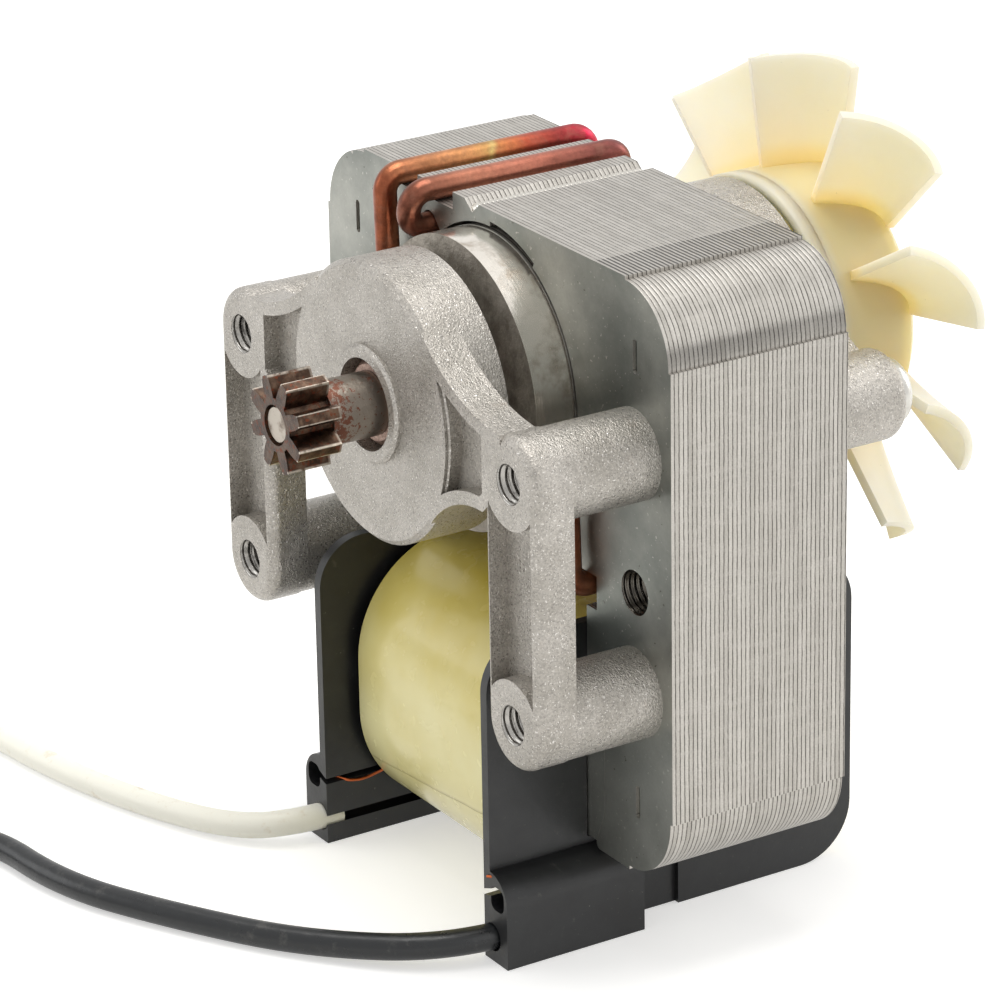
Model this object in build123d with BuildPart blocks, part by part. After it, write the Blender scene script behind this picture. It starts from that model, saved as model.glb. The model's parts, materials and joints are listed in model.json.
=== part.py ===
from build123d import *
from math import cos, hypot, pi, radians, sin, sqrt, tan
import os

# Shaded pole motor with a die-cast face bracket, a pinion and a cooling fan
# Lengths are in millimetres and angles in degrees
# X runs across the motor, Y from the pinion back to the fan, and Z up
# The origin is the centre of the four mounting holes on the mounting face

# Where the shaft and the stack lie, from the origin
shaft_height = 12.4
standoff = 13.9

# Mounting holes, and the screws that come into them from behind
hole_inset = 6.05
hole_spacing_z = 24.2
thread_radius = 2.0
thread_middle_radius = 1.77
thread_engagement = 5.9
screw_clearance = 0.03
shank_setback = 0.2
stack_hole_radius = 2.1
screw_head_radius = 3.4
screw_head_height = 1.6
screw_head_round = 1.3

# Laminated stack, its heights taken from the shaft
lamination_count = 40
lamination_thickness = 0.5
stack_width = 61.7
stack_drop = 43.7
leg_width = 14.53
corner_inset = 7.45
corner_relief = 0.35
bore_radius = 15.1
crown = 1.65
relief_depth = 0.5
relief_start = 60
relief_span = 30
foot_round = 0.6
side_hole_inset = 6.2
side_hole_drop = 14.4
side_hole_radius = 2.25
weld_notch_x = -3.165
weld_notch_width = 2.67
weld_notch_depth = 1.11
dimple_length = 3.4
dimple_width = 0.7
dimple_depth = 0.4
dimple_inset = 5.9
dimple_rise = 9.3
dimple_drop = 36.0

# Core limb through the coil
limb_drop = 29.15
limb_height = 13.75
limb_overlap = 2.83
limb_taper_height = 3.5
limb_taper_width = 1.55
limb_gap = 0.04

# Shading rings
wire_radius = 1.2
wire_gap = 0.15
seat_depth = 1.75
outer_seat_x = -15.65
outer_seat_width = 4.9
inner_seat_x = -9.2
inner_seat_width = 5.0
outer_ring_x = -16.4
inner_ring_x = -10.2
ring_seat_gap = 0.05
outer_notch_angle = 163.0
inner_notch_angle = 132.1
notch_seat_offset = 1.52
outer_ring_front = 1.9
outer_ring_rear = 1.9
inner_ring_front = 2.6
inner_ring_rear = 1.9
outer_ring_bend = 1.85
inner_ring_bend = 1.85

# Bobbin and coil
flange_thickness = 1.1
window_clearance = 0.12
tube_clearance = 0.15
tube_wall = 1.2
tube_corner = 0.5
winding_build = 6.0
winding_corner = 11.5
tape_thickness = 0.5
coil_gap = 0.02
coil_side_gap = 1.15
flange_front = 11.4
flange_rear = 31.4
flange_rise = -20.3
foot_drop = 53.2
flange_top_corner = 5.0
flange_rear_corner = 6.0
foot_recess_depth = 0.6
foot_recess_rear = 10.5
foot_recess_top = -43.5

# Wire channels at the foot of the bobbin
channel_growth = 3.0
channel_rear = 4.5
channel_top = -43.75
channel_end_wall = 1.5
tunnel_offset = 1.3
tunnel_z = -46.3
tunnel_width = 2.3
tunnel_height = 2.5
tunnel_corner = 0.8
tunnel_slit = 0.6
groove_offset = 0.3
groove_z = -50.65
groove_clearance = 0.1
groove_slit = 1.0

# Front bracket, its depths taken back from the mounting face
housing_radius = 14.0
housing_depth = 7.1
housing_edge = 0.5
ring_boss_radius = 5.9
ring_boss_height = 0.6
ring_boss_edge = 0.3
bearing_opening = 4.6
pocket_radius = 9.5
pocket_wall = 3.3
ear_radius = 4.6
bar_thickness = 4.2
bar_edge = 1.2
bar_pocket_width = 7.2
bar_pocket_depth = 2.0
boss_radius = 4.5
post_radius = 4.5
arm_thickness = 4.0
arm_upper_angle = 45.5
arm_lower_angle = -38.8
arm_ear_angle = 110.0
arm_bar_drop = 4.2
arm_rim = 1.35
arm_pocket_depth = 1.7
arm_sink = 1.5

# Rear bracket, its depths taken back from the stack's rear face
rear_housing_radius = 14.1
rear_housing_start = 4.0
rear_housing_depth = 5.8
rear_pocket_wall = 1.8
rear_post_length = 8.6
rear_post_round = 1.2
rear_arm_ear_angle = 140.0

# Bearings
bearing_radius = 5.5
bearing_half_length = 4.0
bearing_depth = 4.3
rear_bearing_depth = 2.8
seat_clearance = 0.02
felt_thickness = 2.0
felt_inner_radius = 5.7
felt_clearance = 0.2
retainer_thickness = 0.4
retainer_inner_radius = 5.45

# Shaft and rotor
shaft_radius = 2.0
press_clearance = 0.01
running_clearance = 0.03
shaft_front = 24.05
shaft_chamfer = 0.3
air_gap = 0.35
end_ring_setback = 0.05
end_ring_inner = 8.5
front_ring_depth = 4.3
rear_ring_depth = 3.6
bar_count = 12
bar_circle = 12.4
bar_radius = 1.2
bar_clearance = 0.02
washer_radius = 4.0
washer_thickness = 0.5
spacer_radius = 3.5
end_play = 0.1

# Pinion
tooth_count = 8
tip_radius = 4.8
pitch_radius = 3.73
root_radius = 2.7
tip_half_angle = 6.6
pitch_half_angle = 12.0
root_half_angle = 16.5
first_tooth_angle = 21.0
pinion_front = 24.26
tooth_length = 4.66
collar_radius = 3.2

# Fan
blade_count = 10
fan_radius = 25.3
hub_radius = 14.3
hub_wall = 1.2
hub_front = 31.7
hub_rear = 40.6
hub_edge = 0.8
fan_boss_radius = 4.0
fan_boss_length = 7.4
blade_thickness = 0.95
blade_root_sink = 1.0
leading_edge_angle = 29.0
blade_curve_depths = (33.6, 37.6, 39.6, 40.0)
blade_curve_angles = (0.0, -5.2, -11.4, -20.5)

# Leads
lead_radius = 1.35
strip_length = 7.0
strip_radius = 0.6

# Sizes that follow from those above
stack_depth = lamination_count * lamination_thickness
stack_rise = bore_radius + crown
stack_height = stack_rise + stack_drop
stack_middle = (stack_rise - stack_drop) / 2
seat_floor = stack_rise - seat_depth
notch_seat_radius = bore_radius + notch_seat_offset
hole_x = stack_width / 2 - hole_inset
upper_hole = hole_spacing_z / 2 - shaft_height
lower_hole = -hole_spacing_z / 2 - shaft_height
window_half = stack_width / 2 - leg_width
flange_face = window_half - window_clearance
coil_half = flange_face - flange_thickness
channel_reach = flange_face + channel_growth
tunnel_x = flange_face + tunnel_offset
groove_x = flange_face + groove_offset
limb_reach = window_half + limb_overlap
limb_middle = -limb_drop - limb_height / 2
tube_depth = stack_depth + 2 * (tube_clearance + tube_wall)
tube_height = limb_height + 2 * (tube_clearance + tube_wall)
groove_radius = lead_radius + groove_clearance
screw_radius = thread_radius - screw_clearance
front_bearing_place = -standoff + bearing_depth
rear_housing_face = stack_depth + rear_housing_start + rear_housing_depth
rear_bearing_place = rear_housing_face - rear_bearing_depth
rotor_radius = bore_radius - air_gap
end_ring_radius = rotor_radius - end_ring_setback
shaft_bore = shaft_radius + press_clearance
floor_height = shaft_height - foot_drop

os.makedirs("parts", exist_ok=True)


# Places: depths run back from the stack's front face, heights up from the shaft
def across(depth):
    """Plane square to the shaft: X to the right, Z up, a negative extrusion runs back."""
    return Plane(origin=(0, standoff + depth, shaft_height), x_dir=(1, 0, 0), z_dir=(0, -1, 0))


def sideways(reach):
    """Plane square to X: Y to the right, Z up, an extrusion runs outwards."""
    return Plane(origin=(reach, standoff, shaft_height), x_dir=(0, 1, 0), z_dir=(1, 0, 0))


def round_angle(radius, angle, centre_x=0.0, centre_z=0.0):
    """Point on a circle seen from the front, angles counterclockwise from X."""
    return (centre_x + radius * cos(radians(angle)), centre_z + radius * sin(radians(angle)))


lengthwise = Plane(origin=(0, standoff, shaft_height), x_dir=(1, 0, 0), z_dir=(0, 0, 1))
shaft_axis = Axis((0, 0, shaft_height), (0, 1, 0))
front_turn = Axis((0, 0, shaft_height), (0, -1, 0))


# Core limb and the pocket for it share one outline
def limb_outline(gap):
    """Corners of the limb's section, grown by a gap."""
    reach = limb_reach + gap
    foot = reach - limb_taper_width
    top = -limb_drop + gap
    bottom = -limb_drop - limb_height - gap
    shoulder = bottom + limb_taper_height
    return [(-reach, top), (reach, top), (reach, shoulder), (foot, bottom), (-foot, bottom), (-reach, shoulder)]


# Laminated stack
with BuildPart() as stator_stack:
    with BuildSketch(across(0)) as stack_face:
        with Locations((0, stack_middle)):
            Rectangle(stack_width, stack_height - 2 * corner_inset)
            Rectangle(stack_width - 2 * corner_inset, stack_height)
            with GridLocations(stack_width - 2 * corner_inset, stack_height - 2 * corner_inset, 2, 2):
                Circle(corner_inset - corner_relief)
        with Locations((0, -stack_rise)):
            Rectangle(2 * window_half, 2 * stack_drop, align=(Align.CENTER, Align.MAX), mode=Mode.SUBTRACT)
        Polygon(*limb_outline(limb_gap), align=None, mode=Mode.SUBTRACT)
        with Locations((0, limb_middle)):
            Rectangle(
                2 * (limb_reach + limb_gap - limb_taper_width),
                2 * stack_drop,
                align=(Align.CENTER, Align.MAX),
                mode=Mode.SUBTRACT,
            )
        foot_tips = stack_face.vertices().group_by(Axis.Y)[0].sort_by(Axis.X)[1:3]
        fillet(foot_tips, foot_round)
        Circle(bore_radius, mode=Mode.SUBTRACT)
        for turn in (0, 180):
            with BuildLine():
                relief_arc = CenterArc((0, 0), bore_radius + relief_depth, relief_start + turn, relief_span)
                Line((0, 0), relief_arc @ 0)
                Line(relief_arc @ 1, (0, 0))
            make_face(mode=Mode.SUBTRACT)
        notch_mouth = 2 * (notch_seat_radius - bore_radius)
        for angle in (outer_notch_angle, inner_notch_angle):
            with PolarLocations(notch_seat_radius - notch_mouth / 2, 2, angle):
                Rectangle(notch_mouth, 2 * (wire_radius + wire_gap), mode=Mode.SUBTRACT)
            with PolarLocations(notch_seat_radius, 2, angle):
                Circle(wire_radius + wire_gap, mode=Mode.SUBTRACT)
        seat_middle = seat_floor + seat_depth
        with Locations((outer_seat_x, seat_middle), (-outer_seat_x, -seat_middle)):
            Rectangle(outer_seat_width, 2 * seat_depth, mode=Mode.SUBTRACT)
        with Locations((inner_seat_x, seat_middle), (-inner_seat_x, -seat_middle)):
            Rectangle(inner_seat_width, 2 * seat_depth, mode=Mode.SUBTRACT)
        Polygon(
            (weld_notch_x - weld_notch_width / 2, stack_rise),
            (weld_notch_x, stack_rise - weld_notch_depth),
            (weld_notch_x + weld_notch_width / 2, stack_rise),
            align=None,
            mode=Mode.SUBTRACT,
        )
        with Locations((0, (upper_hole + lower_hole) / 2)):
            with GridLocations(2 * hole_x, hole_spacing_z, 2, 2):
                Circle(stack_hole_radius, mode=Mode.SUBTRACT)
        side_hole_x = stack_width / 2 - side_hole_inset
        with Locations((-side_hole_x, -side_hole_drop), (side_hole_x, -side_hole_drop)):
            Circle(side_hole_radius, mode=Mode.SUBTRACT)
    extrude(amount=-stack_depth)
    with BuildSketch(across(0)):
        with Locations((0, (dimple_rise - dimple_drop) / 2)):
            with GridLocations(stack_width - 2 * dimple_inset, dimple_rise + dimple_drop, 2, 2):
                SlotOverall(dimple_length, dimple_width, rotation=90)
    extrude(amount=-dimple_depth, mode=Mode.SUBTRACT)
stator_stack.part.label = "stator_stack"
export_step(stator_stack.part, "parts/stator_stack.step")

# Core limb
with BuildPart() as core_limb:
    with BuildSketch(across(0)):
        Polygon(*limb_outline(0), align=None)
    extrude(amount=-stack_depth)
core_limb.part.label = "core_limb"
export_step(core_limb.part, "parts/core_limb.step")


# Shading rings
def shading_ring(turn, top_x, notch_angle, front, rear, bend):
    """Closed loop of round wire over its seat and back through its notch in the bore."""
    top_z = seat_floor + ring_seat_gap + wire_radius
    low_x, low_z = round_angle(notch_seat_radius, notch_angle)
    corners = [
        (turn * top_x, standoff - front, shaft_height + turn * top_z),
        (turn * top_x, standoff + stack_depth + rear, shaft_height + turn * top_z),
        (turn * low_x, standoff + stack_depth + rear, shaft_height + turn * low_z),
        (turn * low_x, standoff - front, shaft_height + turn * low_z),
    ]
    with BuildPart() as ring:
        with BuildLine():
            route = FilletPolyline(*corners, radius=bend, close=True)
        with BuildSketch(Plane(origin=route @ 0, z_dir=route % 0)):
            Circle(wire_radius)
        sweep(path=route)
    return ring


for row, turn in (("upper", 1), ("lower", -1)):
    outer_ring = shading_ring(
        turn, outer_ring_x, outer_notch_angle, outer_ring_front, outer_ring_rear, outer_ring_bend
    )
    outer_ring.part.label = f"shading_ring_{row}_outer"
    export_step(outer_ring.part, f"parts/shading_ring_{row}_outer.step")
    inner_ring = shading_ring(
        turn, inner_ring_x, inner_notch_angle, inner_ring_front, inner_ring_rear, inner_ring_bend
    )
    inner_ring.part.label = f"shading_ring_{row}_inner"
    export_step(inner_ring.part, f"parts/shading_ring_{row}_inner.step")

# Bobbin: the right half, then its mirror image
with BuildPart() as bobbin:
    with BuildSketch(sideways(0)):
        with Locations((stack_depth / 2, limb_middle)):
            RectangleRounded(tube_depth, tube_height, tube_corner)
    extrude(amount=flange_face)
    with BuildSketch(sideways(coil_half)) as flange_face_sketch:
        with Locations(((flange_rear - flange_front) / 2, (flange_rise - foot_drop) / 2)):
            Rectangle(flange_rear + flange_front, foot_drop + flange_rise)
        fillet(flange_face_sketch.vertices().group_by(Axis.Y)[-1], flange_top_corner)
        rear_foot = flange_face_sketch.vertices().group_by(Axis.Y)[0].sort_by(Axis.X)[-1]
        fillet(rear_foot, flange_rear_corner)
    extrude(amount=flange_thickness)
    with BuildSketch(across(-flange_front)):
        with BuildLine():
            shoulder_start = (flange_face, channel_top)
            Polyline(
                (channel_reach, channel_top - channel_growth),
                (channel_reach, -foot_drop),
                (coil_half, -foot_drop),
                (coil_half, channel_top),
                shoulder_start,
            )
            JernArc(shoulder_start, (1, 0), channel_growth, -90)
        make_face()
    extrude(amount=-(flange_front + channel_rear))
    with BuildSketch(across(-flange_front)):
        with Locations((tunnel_x, tunnel_z)):
            RectangleRounded(tunnel_width, tunnel_height, tunnel_corner)
        Polygon(
            (coil_half, tunnel_z - tunnel_slit / 2),
            (tunnel_x, tunnel_z + tunnel_slit / 2),
            (tunnel_x, tunnel_z + tunnel_height / 2),
            (coil_half, tunnel_z + tunnel_slit / 2),
            align=None,
        )
        with Locations((groove_x, groove_z)):
            Circle(groove_radius)
        with Locations((coil_half, groove_z)):
            Rectangle(groove_x - coil_half, groove_slit, align=(Align.MIN, Align.CENTER))
    extrude(amount=-(flange_front + channel_rear - channel_end_wall), mode=Mode.SUBTRACT)
    with BuildSketch(sideways(flange_face - foot_recess_depth)):
        with Locations(((channel_rear + foot_recess_rear) / 2, foot_recess_top)):
            Rectangle(
                foot_recess_rear - channel_rear,
                foot_drop,
                align=(Align.CENTER, Align.MAX),
            )
    extrude(amount=foot_recess_depth, mode=Mode.SUBTRACT)
    with BuildSketch(sideways(0)):
        with Locations((stack_depth / 2, limb_middle)):
            Rectangle(stack_depth + 2 * tube_clearance, limb_height + 2 * tube_clearance)
    extrude(amount=2 * flange_face, mode=Mode.SUBTRACT)
    mirror(about=Plane.YZ)
bobbin.part.label = "bobbin"
export_step(bobbin.part, "parts/bobbin.step")


# Winding and tape: rounded sleeves round the bobbin's tube, pushed up to the right flange
def coil_sleeve(inner_growth, outer_growth, inner_corner, outer_corner):
    """Sleeve between the flanges, its two outlines grown from the tube's own."""
    with BuildPart() as sleeve:
        with BuildSketch(sideways(coil_side_gap - coil_half)):
            with Locations((stack_depth / 2, limb_middle)):
                RectangleRounded(tube_depth + 2 * outer_growth, tube_height + 2 * outer_growth, outer_corner)
                RectangleRounded(
                    tube_depth + 2 * inner_growth, tube_height + 2 * inner_growth, inner_corner, mode=Mode.SUBTRACT
                )
        extrude(amount=2 * coil_half - coil_side_gap - coil_gap)
    return sleeve


coil_winding = coil_sleeve(coil_gap, winding_build, tube_corner, winding_corner)
coil_winding.part.label = "coil_winding"
export_step(coil_winding.part, "parts/coil_winding.step")

tape_start = winding_build + coil_gap
coil_tape = coil_sleeve(
    tape_start, tape_start + tape_thickness, winding_corner + coil_gap, winding_corner + coil_gap + tape_thickness
)
coil_tape.part.label = "coil_tape"
export_step(coil_tape.part, "parts/coil_tape.step")


# Bracket arms: both brackets reach from housing to ear along the same curves
def arm_outline(radius, ear_angle):
    """Right arm as a face in local X and Z; its edges leave the housing along its rim."""
    ear_top = round_angle(ear_radius, ear_angle, hole_x, upper_hole)
    upper_root = round_angle(radius, arm_upper_angle)
    upper_heading = round_angle(1, arm_upper_angle - 90)
    lower_root = round_angle(radius, arm_lower_angle)
    lower_heading = round_angle(1, arm_lower_angle + 90)
    bar_side = (hole_x - ear_radius, upper_hole - arm_bar_drop)
    with BuildSketch(mode=Mode.PRIVATE) as arm:
        with BuildLine():
            TangentArc(upper_root, ear_top, tangent=upper_heading)
            Polyline(ear_top, (hole_x, upper_hole), bar_side)
            TangentArc(lower_root, bar_side, tangent=lower_heading)
            Polyline(lower_root, (0, 0), upper_root)
        make_face()
        Circle(radius - arm_sink, mode=Mode.SUBTRACT)
    return arm.sketch


def arm_pocket(radius, ear_angle):
    """What is recessed between the arm's rims, the housing and the ear."""
    with BuildSketch(mode=Mode.PRIVATE) as pocket:
        add(arm_outline(radius, ear_angle))
        offset(amount=-arm_rim, mode=Mode.REPLACE)
        with Locations((hole_x, upper_hole)):
            Circle(boss_radius, mode=Mode.SUBTRACT)
        with Locations((hole_x - ear_radius, upper_hole)):
            Rectangle(2 * ear_radius, 2 * stack_rise, align=(Align.MIN, Align.CENTER), mode=Mode.SUBTRACT)
    return pocket.sketch


# Bearing housings: one half section, turned round the shaft
def housing_section(face, inwards, radius, depth, wall, ball):
    """Face in local X and Y; inwards is 1 where the housing runs back from its face and -1 forwards."""
    seat_radius = bearing_radius + seat_clearance
    boss_face = face - inwards * ring_boss_height
    pocket_floor = face + inwards * wall
    pocket_mouth = face + inwards * depth
    seat_edge = (sqrt(seat_radius**2 - (pocket_floor - ball) ** 2), pocket_floor)
    seat_mouth = (bearing_opening, ball - inwards * sqrt(seat_radius**2 - bearing_opening**2))
    middle_x = seat_edge[0] + seat_mouth[0]
    middle_y = seat_edge[1] + seat_mouth[1] - 2 * ball
    share = seat_radius / hypot(middle_x, middle_y)
    with BuildSketch(mode=Mode.PRIVATE) as section:
        with BuildLine():
            Polyline(
                seat_mouth,
                (bearing_opening, boss_face),
                (ring_boss_radius - ring_boss_edge, boss_face),
                (ring_boss_radius, boss_face + inwards * ring_boss_edge),
                (ring_boss_radius, face),
                (radius - housing_edge, face),
                (radius, face + inwards * housing_edge),
                (radius, pocket_mouth),
                (pocket_radius, pocket_mouth),
                (pocket_radius, pocket_floor),
                seat_edge,
            )
            ThreePointArc(seat_edge, (share * middle_x, ball + share * middle_y), seat_mouth)
        make_face()
    return section.sketch


# Front bracket: the right half, its mirror image, then the housing and the threaded holes
# Each post is threaded right through: the screw behind fills its thread, so that end is narrower
mounting_face = -standoff
with BuildPart() as front_bracket:
    with BuildSketch(across(mounting_face)):
        with Locations((hole_x, (upper_hole + lower_hole) / 2)):
            SlotCenterToCenter(hole_spacing_z, 2 * ear_radius, rotation=90)
    extrude(amount=-bar_thickness)
    fillet(front_bracket.faces().sort_by(Axis.Y)[0].edges(), bar_edge)
    with BuildSketch(across(mounting_face + bar_thickness / 2)):
        with Locations((hole_x, upper_hole), (hole_x, lower_hole)):
            Circle(post_radius)
    extrude(amount=-(standoff - bar_thickness / 2))
    with BuildSketch(across(mounting_face)):
        add(arm_outline(housing_radius, arm_ear_angle))
    extrude(amount=-arm_thickness)
    with BuildSketch(across(mounting_face)):
        add(arm_pocket(housing_radius, arm_ear_angle))
    extrude(amount=-arm_pocket_depth, mode=Mode.SUBTRACT)
    with BuildSketch(across(mounting_face)):
        with Locations((hole_x, (upper_hole + lower_hole) / 2)):
            Rectangle(bar_pocket_width, hole_spacing_z)
        with Locations((hole_x, upper_hole), (hole_x, lower_hole)):
            Circle(boss_radius, mode=Mode.SUBTRACT)
    extrude(amount=-bar_pocket_depth, mode=Mode.SUBTRACT)
    mirror(about=Plane.YZ)
    with BuildSketch(lengthwise):
        add(housing_section(mounting_face, 1, housing_radius, housing_depth, pocket_wall, front_bearing_place))
    revolve(axis=shaft_axis)
    with BuildSketch(across(mounting_face)):
        with Locations((0, (upper_hole + lower_hole) / 2)):
            with GridLocations(2 * hole_x, hole_spacing_z, 2, 2):
                Circle(thread_radius)
    extrude(amount=-(standoff - thread_engagement), mode=Mode.SUBTRACT)
    with BuildSketch(across(-thread_engagement)):
        with Locations((0, (upper_hole + lower_hole) / 2)):
            with GridLocations(2 * hole_x, hole_spacing_z, 2, 2):
                Circle(thread_middle_radius)
    extrude(amount=-thread_engagement, mode=Mode.SUBTRACT)
front_bracket.part.label = "front_bracket"
export_step(front_bracket.part, "parts/front_bracket.step")

# Rear bracket: the right half, its mirror image, then the housing and the screw holes
rear_post_end = stack_depth + rear_post_length
with BuildPart() as rear_bracket:
    with BuildSketch(across(stack_depth)):
        with Locations((hole_x, upper_hole)):
            Circle(post_radius)
    extrude(amount=-rear_post_length)
    fillet(rear_bracket.faces().sort_by(Axis.Y)[-1].edges(), rear_post_round)
    with BuildSketch(across(rear_post_end)):
        add(arm_outline(rear_housing_radius, rear_arm_ear_angle))
    extrude(amount=arm_thickness)
    with BuildSketch(across(rear_post_end)):
        add(arm_pocket(rear_housing_radius, rear_arm_ear_angle))
    extrude(amount=arm_pocket_depth, mode=Mode.SUBTRACT)
    mirror(about=Plane.YZ)
    with BuildSketch(lengthwise):
        add(
            housing_section(
                rear_housing_face,
                -1,
                rear_housing_radius,
                rear_housing_depth,
                rear_pocket_wall,
                rear_bearing_place,
            )
        )
    revolve(axis=shaft_axis)
    with BuildSketch(across(stack_depth)):
        with Locations((-hole_x, upper_hole), (hole_x, upper_hole)):
            Circle(stack_hole_radius)
    extrude(amount=-rear_post_length, mode=Mode.SUBTRACT)
rear_bracket.part.label = "rear_bracket"
export_step(rear_bracket.part, "parts/rear_bracket.step")


# Bearings, felts and retainers
def bearing(place):
    """Sintered ball with flat ends and a running bore."""
    with BuildPart() as ball:
        with Locations((0, standoff + place, shaft_height)):
            Sphere(bearing_radius)
        with BuildSketch(across(place - bearing_half_length)):
            Circle(bearing_radius)
        extrude(amount=-2 * bearing_half_length, mode=Mode.INTERSECT)
        with BuildSketch(across(place - bearing_half_length)):
            Circle(shaft_radius + running_clearance)
        extrude(amount=-2 * bearing_half_length, mode=Mode.SUBTRACT)
    return ball


def flat_ring(start, thickness, outer, inner):
    """Ring square to the shaft, from a start depth back by its thickness."""
    with BuildPart() as ring:
        with BuildSketch(across(start)):
            Circle(outer)
            Circle(inner, mode=Mode.SUBTRACT)
        extrude(amount=-thickness)
    return ring


front_felt_place = mounting_face + pocket_wall
rear_felt_place = rear_housing_face - rear_pocket_wall - felt_thickness
felt_radius = pocket_radius - felt_clearance
for end, place, felt_place, retainer_place in (
    ("front", front_bearing_place, front_felt_place, front_felt_place + felt_thickness),
    ("rear", rear_bearing_place, rear_felt_place, rear_felt_place - retainer_thickness),
):
    end_bearing = bearing(place)
    end_bearing.part.label = f"{end}_bearing"
    export_step(end_bearing.part, f"parts/{end}_bearing.step")
    felt = flat_ring(felt_place, felt_thickness, felt_radius, felt_inner_radius)
    felt.part.label = f"{end}_felt"
    export_step(felt.part, f"parts/{end}_felt.step")
    retainer = flat_ring(retainer_place, retainer_thickness, felt_radius, retainer_inner_radius)
    retainer.part.label = f"{end}_retainer"
    export_step(retainer.part, f"parts/{end}_retainer.step")


# Screws: domed heads at the rear, tips in the front bracket's posts
def screw(x, z, head_place):
    """Screw with its threaded end, its shank and a domed head in one turned solid."""
    with BuildPart() as fastener:
        with BuildSketch(across(-thread_engagement)):
            with Locations((x, z)):
                Circle(thread_middle_radius - screw_clearance)
        extrude(amount=-(thread_engagement + head_place))
        with BuildSketch(across(shank_setback)):
            with Locations((x, z)):
                Circle(screw_radius)
        extrude(amount=-(head_place - shank_setback))
        with BuildSketch(across(head_place)):
            with Locations((x, z)):
                Circle(screw_head_radius)
        extrude(amount=-screw_head_height)
        fillet(fastener.faces().sort_by(Axis.Y)[-1].edges(), screw_head_round)
    return fastener


for side, x in (("left", -hole_x), ("right", hole_x)):
    upper_screw = screw(x, upper_hole, rear_post_end)
    upper_screw.part.label = f"screw_upper_{side}"
    export_step(upper_screw.part, f"parts/screw_upper_{side}.step")
    lower_screw = screw(x, lower_hole, stack_depth)
    lower_screw.part.label = f"screw_lower_{side}"
    export_step(lower_screw.part, f"parts/screw_lower_{side}.step")

# Shaft
with BuildPart() as shaft:
    with BuildSketch(across(-shaft_front)):
        Circle(shaft_radius)
    extrude(amount=-(shaft_front + hub_rear))
    chamfer(shaft.edges().filter_by(GeomType.CIRCLE), shaft_chamfer)
shaft.part.label = "shaft"
export_step(shaft.part, "parts/shaft.step")

# Rotor core, with a hole for each bar of the cage
with BuildPart() as rotor_core:
    with BuildSketch(across(0)):
        Circle(rotor_radius)
        Circle(shaft_bore, mode=Mode.SUBTRACT)
        with PolarLocations(bar_circle, bar_count):
            Circle(bar_radius + bar_clearance, mode=Mode.SUBTRACT)
    extrude(amount=-stack_depth)
rotor_core.part.label = "rotor_core"
export_step(rotor_core.part, "parts/rotor_core.step")

# Rotor cage: bars between two end rings
with BuildPart() as rotor_cage:
    with BuildSketch(across(-front_ring_depth)):
        Circle(end_ring_radius)
        Circle(end_ring_inner, mode=Mode.SUBTRACT)
    extrude(amount=-front_ring_depth)
    with BuildSketch(across(stack_depth)):
        Circle(end_ring_radius)
        Circle(end_ring_inner, mode=Mode.SUBTRACT)
    extrude(amount=-rear_ring_depth)
    with BuildSketch(across(0)):
        with PolarLocations(bar_circle, bar_count):
            Circle(bar_radius)
    extrude(amount=-stack_depth)
rotor_cage.part.label = "rotor_cage"
export_step(rotor_cage.part, "parts/rotor_cage.step")

# Spacers and thrust washers take up the length between core and bearings
front_washer_place = front_bearing_place + bearing_half_length + end_play
rear_washer_place = rear_bearing_place - bearing_half_length - end_play - washer_thickness
front_spacer_place = front_washer_place + washer_thickness
for end, washer_place, spacer_place, spacer_length in (
    ("front", front_washer_place, front_spacer_place, -front_spacer_place),
    ("rear", rear_washer_place, stack_depth, rear_washer_place - stack_depth),
):
    washer = flat_ring(washer_place, washer_thickness, washer_radius, shaft_bore)
    washer.part.label = f"{end}_thrust_washer"
    export_step(washer.part, f"parts/{end}_thrust_washer.step")
    spacer = flat_ring(spacer_place, spacer_length, spacer_radius, shaft_bore)
    spacer.part.label = f"{end}_spacer"
    export_step(spacer.part, f"parts/{end}_spacer.step")

# Pinion: teeth with curved flanks on a root cylinder, and the collar behind them
collar_start = tooth_length - pinion_front
collar_length = front_bearing_place - bearing_half_length - end_play - collar_start
with BuildPart() as pinion:
    with BuildSketch(across(-pinion_front)):
        Circle(root_radius)
        for tooth in range(tooth_count):
            middle = first_tooth_angle + 360 * tooth / tooth_count
            with BuildLine():
                Line((0, 0), round_angle(root_radius, middle - root_half_angle))
                ThreePointArc(
                    round_angle(root_radius, middle - root_half_angle),
                    round_angle(pitch_radius, middle - pitch_half_angle),
                    round_angle(tip_radius, middle - tip_half_angle),
                )
                ThreePointArc(
                    round_angle(tip_radius, middle - tip_half_angle),
                    round_angle(tip_radius, middle),
                    round_angle(tip_radius, middle + tip_half_angle),
                )
                ThreePointArc(
                    round_angle(tip_radius, middle + tip_half_angle),
                    round_angle(pitch_radius, middle + pitch_half_angle),
                    round_angle(root_radius, middle + root_half_angle),
                )
                Line(round_angle(root_radius, middle + root_half_angle), (0, 0))
            make_face()
    extrude(amount=-tooth_length)
    with BuildSketch(across(collar_start)):
        Circle(collar_radius)
    extrude(amount=-collar_length)
    with BuildSketch(across(-pinion_front)):
        Circle(shaft_bore)
    extrude(amount=-(tooth_length + collar_length), mode=Mode.SUBTRACT)
pinion.part.label = "pinion"
export_step(pinion.part, "parts/pinion.step")


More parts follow.
